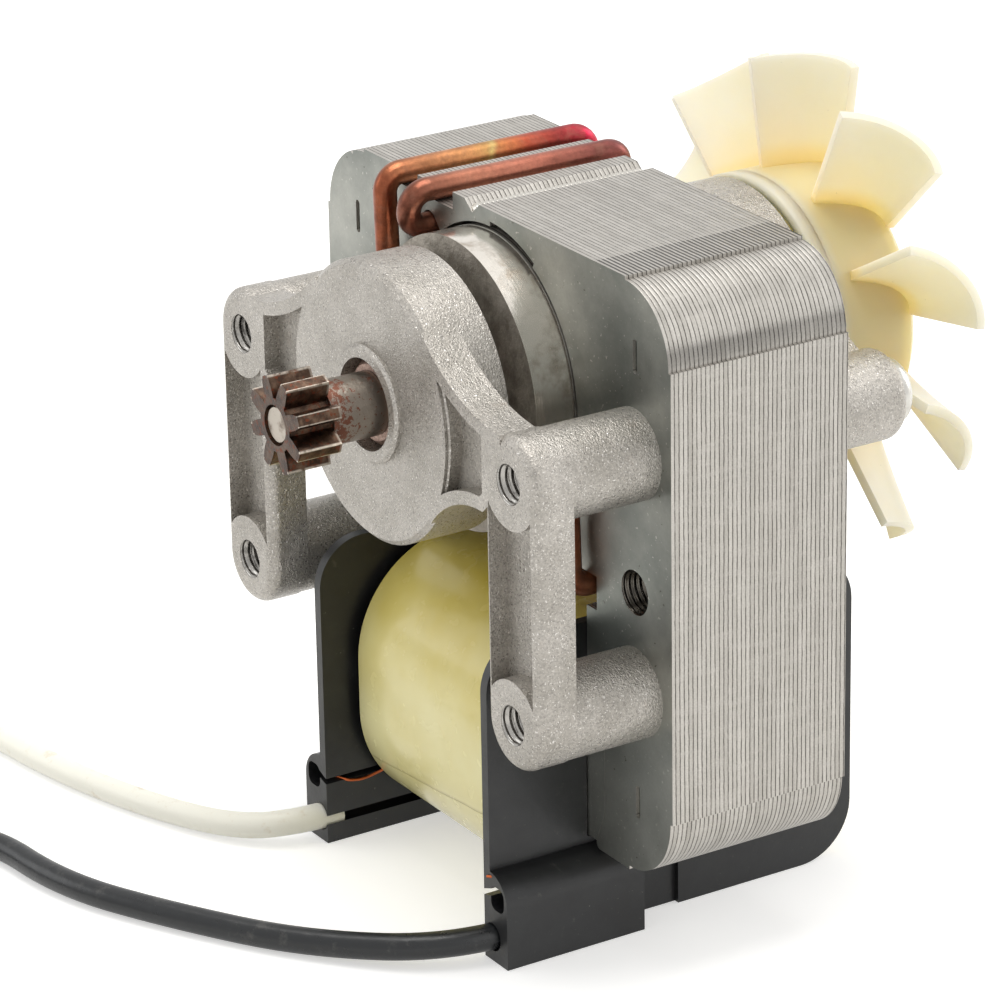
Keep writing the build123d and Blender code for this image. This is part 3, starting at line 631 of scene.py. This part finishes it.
@dataclass(frozen=True)
class RustyPinion:
    """Hardened pinion steel, oxidised brown, with bright tooth edges and a greyer collar with rust spots."""

    tone: Colour = paint(112, 90, 74)
    deep: Colour = paint(66, 50, 41)
    rust: Colour = paint(116, 62, 42)
    collar_tone: Colour = paint(158, 150, 140)
    # Colour of the bright tooth edges and collar rim: worn metal and a painted highlight
    bright: Colour = paint(214, 204, 190)
    axis_height: float = 12.4
    tip_radius: float = 4.8
    tip_angle: float = 6.6
    first_tooth: float = 21.0
    teeth: int = 8
    collar_front: float = -5.7
    face_front: float = -10.36

    def material(self) -> Material:
        """Brown teeth, bright at each tip's edges by angle and radius, and rust by the collar's start."""
        g = Graph("pinion_steel")
        radius, rise = g.off_axis(self.axis_height)
        pitch = 360 / self.teeth
        angle = g.maths("ARCTAN2", rise, g.x) * (180 / math.pi)
        away = abs((angle - self.first_tooth + pitch / 2) % pitch - pitch / 2)
        cloud = g.spots(1.2, 0.35, 0.7, 4.0, 0.65)
        colour = g.mix(cloud, self.deep, self.tone)
        collar = g.y.step(self.collar_front - 0.1, self.collar_front + 0.1)
        colour = g.mix(collar * 0.85, colour, self.collar_tone)
        near = g.y.step(self.collar_front + 3.4, self.collar_front + 0.6) * collar
        grain = g.noise(0.65, 4.0, 0.75)
        front = g.y.step(self.face_front + 0.3, self.face_front + 0.05)
        colour = g.shaded(colour, front.between(1.0, 0.62))
        rust = (grain + near * 0.15 - collar * 0.02).step(0.56, 0.62)
        colour = g.mix(rust * 0.85, colour, self.rust)
        # The tooth tips' edges and the collar's front rim are painted bright, partly as worn metal and partly
        # as a painted highlight
        tips = radius.step(self.tip_radius - 0.28, self.tip_radius - 0.1)
        edges = away.step(self.tip_angle - 1.6, self.tip_angle - 0.4) * tips
        tip_wear_and_highlight = edges * g.noise(0.7, 2.0).step(0.25, 0.5) * (1 - collar)
        rim_wear_and_highlight = g.y.step(self.collar_front - 0.3, self.collar_front - 0.1)
        rim_wear_and_highlight = rim_wear_and_highlight * radius.step(3.4, 3.8) * (1 - collar)
        colour = g.mix((tip_wear_and_highlight + rim_wear_and_highlight * 0.5).smaller(1.0) * 0.75, colour, self.bright)
        normal = g.relief(g.noise(0.4, 4.0, 0.7), 0.04)
        rough = (rust + cloud * 0.4).step(0.0, 1.4).between(0.28, 0.55)
        return g.finish(colour, rough, 0.88, normal)


@dataclass(frozen=True)
class OiledPowder:
    """Pressed powder or felt, dark with oil."""

    name: str
    tone: Colour
    deep: Colour
    grain: float
    metal: float

    def material(self) -> Material:
        """Open grain with pores and an oily sheen."""
        g = Graph(self.name)
        distance, tone = g.grains(self.grain)
        colour = g.mix(tone, self.deep, self.tone)
        normal = g.relief(distance, 0.04)
        return g.finish(colour, g.noise(1.5, 2.0).between(0.3, 0.6), self.metal, normal)


def added(name: str, data: bpy.types.ID) -> Piece:
    """Puts a new object with this mesh, curve, lamp or camera into the scene."""
    piece = bpy.data.objects.new(name, data)
    bpy.context.scene.collection.objects.link(piece)
    return piece


def into_mesh(name: str, points: Array, faces: Array, material: Material) -> Piece:
    """Makes a smooth mesh piece and turns its faces outwards.

    The signed volume is the sum over all triangles of the first corner dotted with the cross product of the
    other two, over six; where it is negative the faces are reversed.

    Args:
        name: name of the piece.
        points: its vertices in millimetres, one row each.
        faces: vertex numbers, one row of four a face.
        material: its finish.

    Returns:
        The new object.
    """
    a, b, c, d = (points[faces[:, corner]] for corner in range(4))
    if np.einsum("ij,ij->", a, np.cross(b, c) + np.cross(c, d)) < 0:
        faces = faces[:, ::-1]
    mesh = bpy.data.meshes.new(name)
    mesh.from_pydata((points * MM).tolist(), [], faces.tolist())
    mesh.polygons.foreach_set("use_smooth", np.ones(len(faces), bool))
    mesh.materials.append(material)
    mesh.update()
    log.info("piece %s has %d faces", name, len(faces))
    return added(name, mesh)


def woven_faces(rows: int, columns: int, joined: bool) -> Array:
    """Quads of a grid of points whose rows are rings; the last row can be joined to the first.

    The corner numbers are row * columns + column, with the next row and column taken modulo their counts.
    """
    row = np.arange(rows if joined else rows - 1)
    r, c = (part.ravel() for part in np.meshgrid(row, np.arange(columns), indexing="ij"))
    after, beside = (r + 1) % rows, (c + 1) % columns
    corners = [r * columns + c, r * columns + beside, after * columns + beside, after * columns + c]
    return np.stack(corners, axis=1)


def fan_faces(ring: Array) -> Array:
    """Quads that close an even ring of points: pairs of edges folded together from its first point."""
    first = np.arange(1, len(ring) - 1, 2)
    corners = [np.full(len(first), ring[0]), ring[first], ring[first + 1], ring[(first + 2) % len(ring)]]
    return np.stack(corners, axis=1)


def closed_faces(rows: int, columns: int) -> Array:
    """Quads of a tube of points with a lid on its first and on its last row."""
    first = np.arange(columns)
    last = (first + (rows - 1) * columns)[::-1]
    return np.concatenate([woven_faces(rows, columns, False), fan_faces(first), fan_faces(last)])


def skin(
    name: str, centres: Array, radius: Array, axes: tuple[Array, Array], material: Material, lids: bool
) -> Piece:
    """Rings of points joined into a closed skin, with lids at its ends or its last ring joined to the first.

    Each point goes to centre + radius * (cos(turn) * side + sin(turn) * top).

    Args:
        name: name of the piece.
        centres: middle of each ring in millimetres, one row each.
        radius: radius in millimetres, by ring and by step of the turn.
        axes: side and top, one for all rings or one row each.
        material: its finish.
        lids: whether its ends have lids.

    Returns:
        The new object.
    """
    side, top = axes
    turn = np.linspace(0, 2 * np.pi, radius.shape[1], endpoint=False)
    sideways = (radius * np.cos(turn))[..., None] * side[..., None, :]
    upwards = (radius * np.sin(turn))[..., None] * top[..., None, :]
    points = (centres[:, None] + sideways + upwards).reshape(-1, 3)
    faces = closed_faces(*radius.shape) if lids else woven_faces(*radius.shape, True)
    return into_mesh(name, points, faces, material)


def tube(name: str, path: Array, radius: float, material: Material, sides: int) -> Piece:
    """Round wire along a path, its ends drawn in to closed points.

    Each ring stands square to the path; its side is the path's direction crossed with the axis that the path
    follows least.

    Args:
        name: name of the piece.
        path: points in millimetres, one row each.
        radius: radius in millimetres.
        material: its finish.
        sides: number of points round it.

    Returns:
        The new object.
    """
    heading = np.gradient(path, axis=0)
    heading /= np.linalg.norm(heading, axis=1, keepdims=True)
    guide = np.eye(3)[np.argmin(np.abs(heading).max(axis=0))]
    side = np.cross(heading, guide)
    side /= np.linalg.norm(side, axis=1, keepdims=True)
    other = np.cross(heading, side)
    reach = np.concatenate([[TIP_RADIUS], np.full(len(path), radius), [TIP_RADIUS]])
    path, side, other = (np.concatenate([part[:1], part, part[-1:]]) for part in (path, side, other))
    return skin(name, path, np.repeat(reach[:, None], sides, axis=1), (side, other), material, True)


def sleeve(name: str, radius: Array, depth: Array, centre: tuple[float, float], material: Material) -> Piece:
    """Closed skin round a line along Y at this x and z, one depth a ring, for turned rims and threads."""
    x, z = (np.full_like(depth, place) for place in centre)
    axes = (np.array([1.0, 0.0, 0.0]), np.array([0.0, 0.0, 1.0]))
    return skin(name, np.stack([x, depth, z], axis=1), radius, axes, material, False)


def placed(*columns: Array | Triple) -> Matrix:
    """Matrix whose columns are three axes and a place."""
    matrix = Matrix.Identity(4)
    for column, axis in enumerate(columns):
        for row in range(3):
            matrix[row][column] = axis[row]
    return matrix


def dress(finish: Material, *nodes: str) -> None:
    """Gives CAD nodes their finish."""
    for node in nodes:
        materials = frame["nodes"][node].data.materials
        materials.clear()
        materials.append(finish)
    log.info("dressed %s", ", ".join(nodes))


@dataclass(frozen=True)
class Lamp:
    """Square soft lamp that faces the motor, with place and size in metres and power in watts."""

    name: str
    place: Triple
    size: float
    power: float
    colour: Colour

    def build(self) -> None:
        """Hangs the lamp up."""
        data = bpy.data.lights.new(self.name, "AREA")
        data.shape, data.size, data.energy, data.color = "SQUARE", self.size, self.power, self.colour
        away = np.array(self.place) / np.linalg.norm(self.place)
        overhead = abs(away[2]) > 0.99
        side = np.array([1.0, 0.0, 0.0]) if overhead else np.cross((0.0, 0.0, 1.0), away)
        side /= np.linalg.norm(side)
        added(self.name, data).matrix_world = placed(side, np.cross(away, side), away, self.place)


@dataclass
class Studio:
    """Camera at the photograph's view, pale floor and soft lamps."""

    lamps: ClassVar[tuple[Lamp, ...]] = (
        Lamp("lamp_top", (-0.05, 0.05, 0.8), 0.55, 4.2, (1.0, 0.985, 0.96)),
        Lamp("lamp_right", (0.75, 0.15, 0.35), 0.5, 0.45, (1.0, 0.99, 0.97)),
        Lamp("lamp_left", (-0.55, -0.65, 0.35), 0.5, 1.1, (0.98, 0.99, 1.0)),
        Lamp("lamp_back", (0.1, 0.8, 0.3), 0.5, 2.3, (1.0, 0.985, 0.96)),
    )
    azimuth: float = 58.1313
    elevation: float = 21.7547
    roll: float = -1.0435
    place: Triple = (0.3838, -0.2241, 0.1795)
    lens: float = 179.002
    sensor: float = 36.0
    clip: tuple[float, float] = (0.01, 20.0)
    floor_half: float = 3.0
    floor_drop: float = 0.05
    floor_tone: Colour = paint(228, 228, 227)
    floor_lift: float = 0.5
    ambient: float = 0.55
    seen_level: float = 1.0

    def camera(self) -> None:
        """Puts the camera in place, its axes worked out from azimuth, elevation and roll."""
        turn, tilt, roll = (math.radians(angle) for angle in (self.azimuth, self.elevation, self.roll))
        back = np.array([math.sin(turn) * math.cos(tilt), -math.cos(turn) * math.cos(tilt), math.sin(tilt)])
        right = np.array([math.cos(turn), math.sin(turn), 0.0])
        up = np.cross(back, right)
        level = right * math.cos(roll) + up * math.sin(roll)
        top = up * math.cos(roll) - right * math.sin(roll)
        data = bpy.data.cameras.new("camera")
        data.lens, data.sensor_width = self.lens, self.sensor
        data.clip_start, data.clip_end = self.clip
        camera = added("camera", data)
        camera.matrix_world = placed(level, top, back, self.place)
        bpy.context.scene.camera = camera

    def seen(self, tree: bpy.types.NodeTree) -> Socket:
        """1 for rays that show the background itself: camera, glossy and transmission rays."""
        path = tree.nodes.new("ShaderNodeLightPath")
        total = path.outputs["Is Camera Ray"]
        for name in ("Is Glossy Ray", "Is Transmission Ray"):
            most = tree.nodes.new("ShaderNodeMath")
            most.operation = "MAXIMUM"
            tree.links.new(total, most.inputs[0])
            tree.links.new(path.outputs[name], most.inputs[1])
            total = most.outputs[0]
        return total

    def world(self) -> None:
        """Even grey-white surroundings that the camera sees as white."""
        world = bpy.data.worlds.new("studio")
        bpy.context.scene.world = world
        world.use_nodes = True
        tree = world.node_tree
        background = tree.nodes["Background"]
        level = tree.nodes.new("ShaderNodeMix")
        tree.links.new(self.seen(tree), level.inputs[0])
        level.inputs[2].default_value, level.inputs[3].default_value = self.ambient, self.seen_level
        tree.links.new(level.outputs[0], background.inputs["Strength"])
        background.inputs["Color"].default_value = (1.0, 1.0, 1.0, 1.0)

    def floor(self, height: float) -> None:
        """White floor that keeps the shadow and adds light of its own for rays that show the background.

        Args:
            height: height of the object's lowest point in metres.
        """
        graph = Graph("floor_white")
        tree = graph.tree
        diffuse = graph.node("ShaderNodeBsdfDiffuse", values={"Color": self.floor_tone})
        glow = graph.node("ShaderNodeEmission", values={"Color": (1.0, 0.995, 0.985)})
        seen = Level(graph, self.seen(tree)) * self.floor_lift
        tree.links.new(seen.socket, glow.inputs["Strength"])
        both = graph.node("ShaderNodeAddShader", values={0: diffuse.outputs[0], 1: glow.outputs[0]})
        graph.node("ShaderNodeOutputMaterial", values={"Surface": both.outputs[0]})
        half, low = self.floor_half / MM, height / MM - self.floor_drop
        corners = np.array([[-half, -half, low], [half, -half, low], [half, half, low], [-half, half, low]])
        mesh = bpy.data.meshes.new("floor")
        mesh.from_pydata((corners * MM).tolist(), [], [(0, 1, 2, 3)])
        mesh.materials.append(graph.material)
        floor = added("floor", mesh)

    def build(self) -> None:
        """Sets up the whole studio."""
        bpy.context.scene.view_settings.view_transform = "Standard"
        self.camera()
        self.world()
        self.floor(cad_box[0].z)
        for lamp in self.lamps:
            lamp.build()
        log.info("studio is set up")


@dataclass
class Leads:
    """The two leads, on the same routes as their solids."""

    bare: ClassVar[dict[str, float]] = {"white": 7.0, "black": 4.5}
    lengths: ClassVar[dict[str, float]] = {"white": 0.1336, "black": 0.1389}
    channels: ClassVar[dict[str, tuple[Triple, ...]]] = {
        "white": ((-16.5, 4.6, -38.25), (-16.5, 0.3, -38.25), (-20.3, -5.0, -39.1)),
        "black": ((16.5, 5.9, -38.25), (16.5, -1.8, -38.35)),
    }
    ground: ClassVar[dict[str, tuple[tuple[float, float], ...]]] = {
        "white": (
            (-31.0, -9.7), (-44.2, -13.3), (-58.0, -15.0), (-74.0, -17.7), (-81.2, -26.5),
            (-81.4, -37.9), (-74.2, -46.7), (-62.9, -48.6), (-53.0, -42.9), (-49.2, -32.2),
        ),
        "black": (
            (5.6, -12.1), (-7.2, -19.9), (-19.5, -25.7), (-34.0, -26.7), (-43.2, -35.6),
            (-44.4, -48.3), (-37.3, -58.9), (-25.1, -62.5), (-13.4, -57.4), (-7.8, -46.0),
        ),
    }
    lying: float = -39.45
    radius: float = 1.35
    strand_count: int = 7
    core: float = 0.55
    ridge_depth: float = 0.16
    twist: float = 0.5
    sunk: float = 0.6
    end_rings: int = 90
    end_sides: int = 28
    closing: float = 0.8

    def route(self, colour: str) -> list[Triple]:
        """Route points of one lead in millimetres: its channel, then along the ground."""
        return [*self.channels[colour], *((x, y, self.lying) for x, y in self.ground[colour])]

    def lead(self, colour: str, finish: Material) -> None:
        """One lead as a smooth curve through its route, standing for its solid.

        Args:
            colour: white or black.
            finish: its material.
        """
        points = np.array(self.route(colour)) * MM
        curve = bpy.data.curves.new(f"sheath_{colour}", "CURVE")
        curve.dimensions = "3D"
        spline = curve.splines.new("NURBS")
        spline.points.add(len(points) - 1)
        spline.points.foreach_set("co", np.column_stack([points, np.ones(len(points))]).ravel())
        spline.order_u = 3
        spline.use_endpoint_u = True
        spline.resolution_u = 16
        curve.bevel_depth = self.radius * MM
        curve.bevel_resolution = 6
        curve.use_fill_caps = True
        curve.materials.append(finish)
        sheath = added(f"sheath_{colour}", curve)
        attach(sheath, "stator")
        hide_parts(f"lead_{colour}")
        end = self.strands(colour, points[-1] / MM, points[-2] / MM)
        log.info("lead %s follows %d points", colour, len(points))

    def strands(self, colour: str, tip: Array, before: Array) -> Piece:
        """Twisted and tinned strands that stand out of a lead's end.

        The radius is core * (1 + ridge depth * |cos(half the strand count * (turn - twist * length))|), drawn
        in over the closing length.

        Args:
            colour: white or black.
            tip: the lead's last point in millimetres.
            before: the point before it.

        Returns:
            The new object.
        """
        bare = self.bare[colour]
        heading = (tip - before) / np.linalg.norm(tip - before)
        side = np.cross(heading, (0.0, 0.0, 1.0))
        side /= np.linalg.norm(side)
        top = np.cross(side, heading)
        along = np.linspace(-self.sunk, bare, self.end_rings)[:, None]
        turn = np.linspace(0, 2 * np.pi, self.end_sides, endpoint=False)
        ridge = np.abs(np.cos(self.strand_count / 2 * (turn - along * self.twist)))
        drawn_in = np.clip((bare - along) / self.closing, 0.02, 1.0) ** 0.5
        radius = self.core * (1 + self.ridge_depth * ridge) * drawn_in
        tinned = TurnedMetal(f"tinned_strands_{colour}", paint(206, 204, 200), paint(150, 140, 125), 0.24)
        centres = tip + along * heading
        piece = skin(f"strands_{colour}", centres, radius, (side, top), tinned.material(), True)
        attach(piece, "stator")
        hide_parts(f"lead_{colour}_end")
        return piece

    def build(self) -> None:
        """Both leads and their tinned ends."""
        white = Sheath("white_insulation", paint(255, 253, 240), paint(212, 194, 160), 0.34)
        black = Sheath("black_insulation", paint(28, 30, 32), paint(96, 94, 90), 0.26)
        self.lead("white", white.material())
        self.lead("black", black.material())


@dataclass(frozen=True)
class Thread:
    """Size of one kind of screw thread, in millimetres."""

    bore: float
    core: float
    pitch: float
    front: float
    depth: float


@dataclass
class Threads:
    """Screw threads cut in the bracket's four posts and in the stack's two side holes."""

    post: ClassVar[Thread] = Thread(bore=2.0, core=1.66, pitch=0.7, front=0.05, depth=7.8)
    stack: ClassVar[Thread] = Thread(bore=2.25, core=1.98, pitch=0.62, front=13.95, depth=19.9)
    post_x: float = 24.8
    post_rise: float = 12.1
    stack_x: float = 24.65
    stack_z: float = -2.0
    wall: float = 0.004
    fade: float = 0.6
    sides: int = 36
    steps: int = 8

    def cut(self, name: str, thread: Thread, x: float, z: float, finish: Material) -> None:
        """A thread's ridge lining a hole.

        The inner wall stands at bore - (bore - core) * ridge, where ridge falls from 1 at a crest to 0 at a
        root by a clipped triangle of (depth / pitch - turn / full turn), and fades to 0 at both ends; the
        outer wall stands just outside the bore.

        Args:
            name: name of the piece.
            thread: its sizes.
            x: middle of the hole.
            z: height of the hole.
            finish: its material.
        """
        along = np.linspace(0.0, thread.depth, int(thread.depth / thread.pitch * self.steps))
        turn = np.linspace(0.0, 2 * np.pi, self.sides, endpoint=False)
        phase = (along[:, None] / thread.pitch - turn[None, :] / (2 * np.pi)) % 1.0
        ridge = np.clip(1.25 - 2.5 * np.abs(phase - 0.5), 0.0, 1.0)
        from_end = np.minimum(along, thread.depth - along)[:, None]
        ends = np.clip(from_end / (self.fade * thread.pitch), 0.0, 1.0)
        radius = thread.bore - (thread.bore - thread.core) * ridge * ends
        radius = np.concatenate([radius, np.full((2, self.sides), thread.bore + self.wall)])
        depth = thread.front + np.concatenate([along, [thread.depth, 0.0]])
        piece = sleeve(name, radius, depth, (x, z), finish)
        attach(piece, "stator")

    def build(self, post_finish: Material, stack_finish: Material) -> None:
        """The threads of all six holes.

        Args:
            post_finish: finish of the threads in the posts.
            stack_finish: finish of the threads in the stack.
        """
        for side, way in (("left", -1), ("right", 1)):
            for row, z in (("upper", self.post_rise), ("lower", -self.post_rise)):
                name = f"post_thread_{row}_{side}"
                self.cut(name, self.post, way * self.post_x, z, post_finish)
            name = f"stack_thread_{side}"
            self.cut(name, self.stack, way * self.stack_x, self.stack_z, stack_finish)


@dataclass
class Trimmings:
    """Small pieces: the fan hub's lip, the weld along the stack's top and the ends of the winding wire."""

    axis_height: float = 12.4
    lip_outer: float = 14.3
    lip_inner: float = 13.1
    lip_front: float = 44.0
    lip_rear: float = 45.65
    lip_edge: float = 0.25
    lip_sides: int = 96
    weld_x: float = -3.165
    weld_half: float = 0.82
    weld_rise: float = 0.62
    weld_floor: float = 28.1
    weld_front: float = 14.0
    weld_rear: float = 33.8
    weld_pitch: float = 0.5
    weld_ripple: float = 0.14
    weld_sunk: float = 0.15
    wire_radius: float = 0.16
    wire_points: int = 48
    wire_smoothing: int = 6

    def hub_lip(self, nylon: Material) -> None:
        """Rim that runs from the fan's cup towards the rear bracket."""
        outer, inner, edge = self.lip_outer, self.lip_inner, self.lip_edge
        front, rear = self.lip_front, self.lip_rear
        radius = np.array([inner, inner, inner + edge, outer - edge, outer, outer])
        depth = np.array([rear, front + edge, front, front, front + edge, rear])
        radius = np.repeat(radius[:, None], self.lip_sides, axis=1)
        lip = sleeve("fan_hub_lip", radius, depth, (0.0, self.axis_height), nylon)
        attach(lip, "rotor")

    def weld(self, steel: Material) -> None:
        """Weld bead in the notch on top of the stack.

        Its height over the notch's floor is sqrt(1 - across^2) * (rise + ripple), where the ripple is its own
        height times |sin(pi * (along + across^2 / 2) / pitch)|^0.6. It sinks to nothing at both ends.
        """
        along = np.linspace(self.weld_front, self.weld_rear, 260)
        across = np.linspace(-1.0, 1.0, 17)
        a, c = np.meshgrid(along, across, indexing="ij")
        ripple = np.abs(np.sin(np.pi * (a + 0.5 * c**2) / self.weld_pitch)) ** 0.6
        ends = np.clip(np.minimum(a - self.weld_front, self.weld_rear - a) / 0.5, 0.0, 1.0) ** 0.5
        crown = np.sqrt(np.clip(1 - c**2, 0.0, 1.0)) * ends
        z = self.weld_floor + crown * (self.weld_rise + self.weld_ripple * ripple)
        x = self.weld_x + self.weld_half * c * (0.93 + 0.07 * ripple)
        top = np.stack([x, a, z], axis=-1)
        under = np.stack([x, a, np.full_like(z, self.weld_floor - self.weld_sunk)], axis=-1)
        loop = np.concatenate([top, under[:, ::-1]], axis=1)
        faces = closed_faces(*loop.shape[:2])
        bead = into_mesh("stack_weld", loop.reshape(-1, 3), faces, steel)
        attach(bead, "stator")

    def wires(self, copper: Material) -> None:
        """Enamelled ends of the winding where they pass from the coil to the lead channels."""
        routes = {
            "left": [
                (-15.9, 4.1, -33.9), (-14.95, 5.0, -34.3), (-14.85, 6.4, -34.52),
                (-14.85, 7.6, -34.4), (-14.6, 8.8, -34.0), (-13.8, 10.3, -33.2),
            ],
            "right": [
                (15.9, 2.4, -31.95), (16.5, 2.6, -31.8), (16.66, 3.5, -31.66),
                (16.6, 4.5, -31.7), (16.1, 5.4, -31.95),
            ],
        }
        for side, corners in routes.items():
            corners = np.array(corners)
            share = np.linspace(0, len(corners) - 1, self.wire_points)
            numbers = np.arange(len(corners))
            path = np.stack([np.interp(share, numbers, corners[:, axis]) for axis in range(3)], axis=1)
            for _ in range(self.wire_smoothing):
                path[1:-1] = (path[:-2] + 2 * path[1:-1] + path[2:]) / 4
            wire = tube(f"winding_wire_{side}", path, self.wire_radius, copper, 8)
            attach(wire, "stator")

    def build(self, shared: Mapping[str, Material]) -> None:
        """All the small pieces; the hub's lip shares the fan's finish."""
        self.hub_lip(shared["nylon"])
        bead = TurnedMetal("weld_bead", paint(214, 210, 202), paint(120, 112, 102), 0.2, 0.3)
        wire = TurnedMetal("enamelled_wire", paint(186, 96, 56), paint(104, 58, 34), 0.28, 0.5)
        self.weld(bead.material())
        self.wires(wire.material())


def dress_motor() -> dict[str, Material]:
    """Gives every carried-over solid its finish.

    Returns:
        The finishes that new pieces share.
    """
    nylon = FanNylon().material()
    bronze = OiledPowder("sintered_bronze", paint(190, 163, 150), paint(140, 114, 102), 0.18, 0.7)
    felt = OiledPowder("oil_felt", paint(120, 104, 78), paint(78, 66, 48), 0.25, 0.0)
    winding = OiledPowder("winding_copper", paint(170, 92, 52), paint(110, 52, 28), 0.3, 0.8)
    bright = TurnedMetal("bright_steel", paint(172, 164, 153), paint(84, 62, 46), 0.3, 0.85)
    spring = TurnedMetal("spring_steel", paint(170, 166, 158), paint(90, 80, 70))
    zinc = TurnedMetal("zinc_steel", paint(202, 200, 194), paint(160, 154, 144), 0.24)
    plastic = MouldedPlastic("bobbin_plastic", paint(36, 37, 38), paint(25, 25, 26))
    rows, sides, ends = ("upper", "lower"), ("left", "right"), ("front", "rear")
    rings = [f"shading_ring_{row}_{place}" for row in rows for place in ("outer", "inner")]
    screws = [f"screw_{row}_{side}" for row in rows for side in sides]
    springs = [f"{end}_{piece}" for piece in ("retainer", "thrust_washer") for end in ends]
    dress(LaminatedSteel().material(), "stator_stack", "core_limb", "rotor_core")
    dress(DieCast().material(), "front_bracket", "rear_bracket")
    dress(BareCopper().material(), *rings)
    dress(TapeFilm().material(), "coil_tape")
    dress(winding.material(), "coil_winding")
    dress(plastic.material(), "bobbin")
    dress(nylon, "fan")
    dress(bright.material(), "shaft", "front_spacer", "rear_spacer")
    dress(CageAluminium().material(), "rotor_cage")
    dress(zinc.material(), *screws)
    dress(spring.material(), *springs)
    dress(RustyPinion().material(), "pinion")
    dress(bronze.material(), "front_bearing", "rear_bearing")
    dress(felt.material(), "front_felt", "rear_felt")
    # The threads' dark tones and heavy dark tarnish patches are painted shade of the insides of their holes
    post_thread = TurnedMetal("post_thread", paint(168, 165, 160), paint(52, 48, 44), 0.16, 0.9)
    stack_thread = TurnedMetal("stack_thread", paint(104, 100, 93), paint(36, 33, 30), 0.2, 0.8)
    threads = {"post_thread": post_thread.material(), "stack_thread": stack_thread.material()}
    return {"nylon": nylon} | threads


def main() -> None:
    """Builds the studio, the leads, the finishes and the small pieces in order."""
    Studio().build()
    Leads().build()
    shared = dress_motor()
    Threads().build(shared["post_thread"], shared["stack_thread"])
    Trimmings().build(shared)


if __name__ == "__main__":
    main()
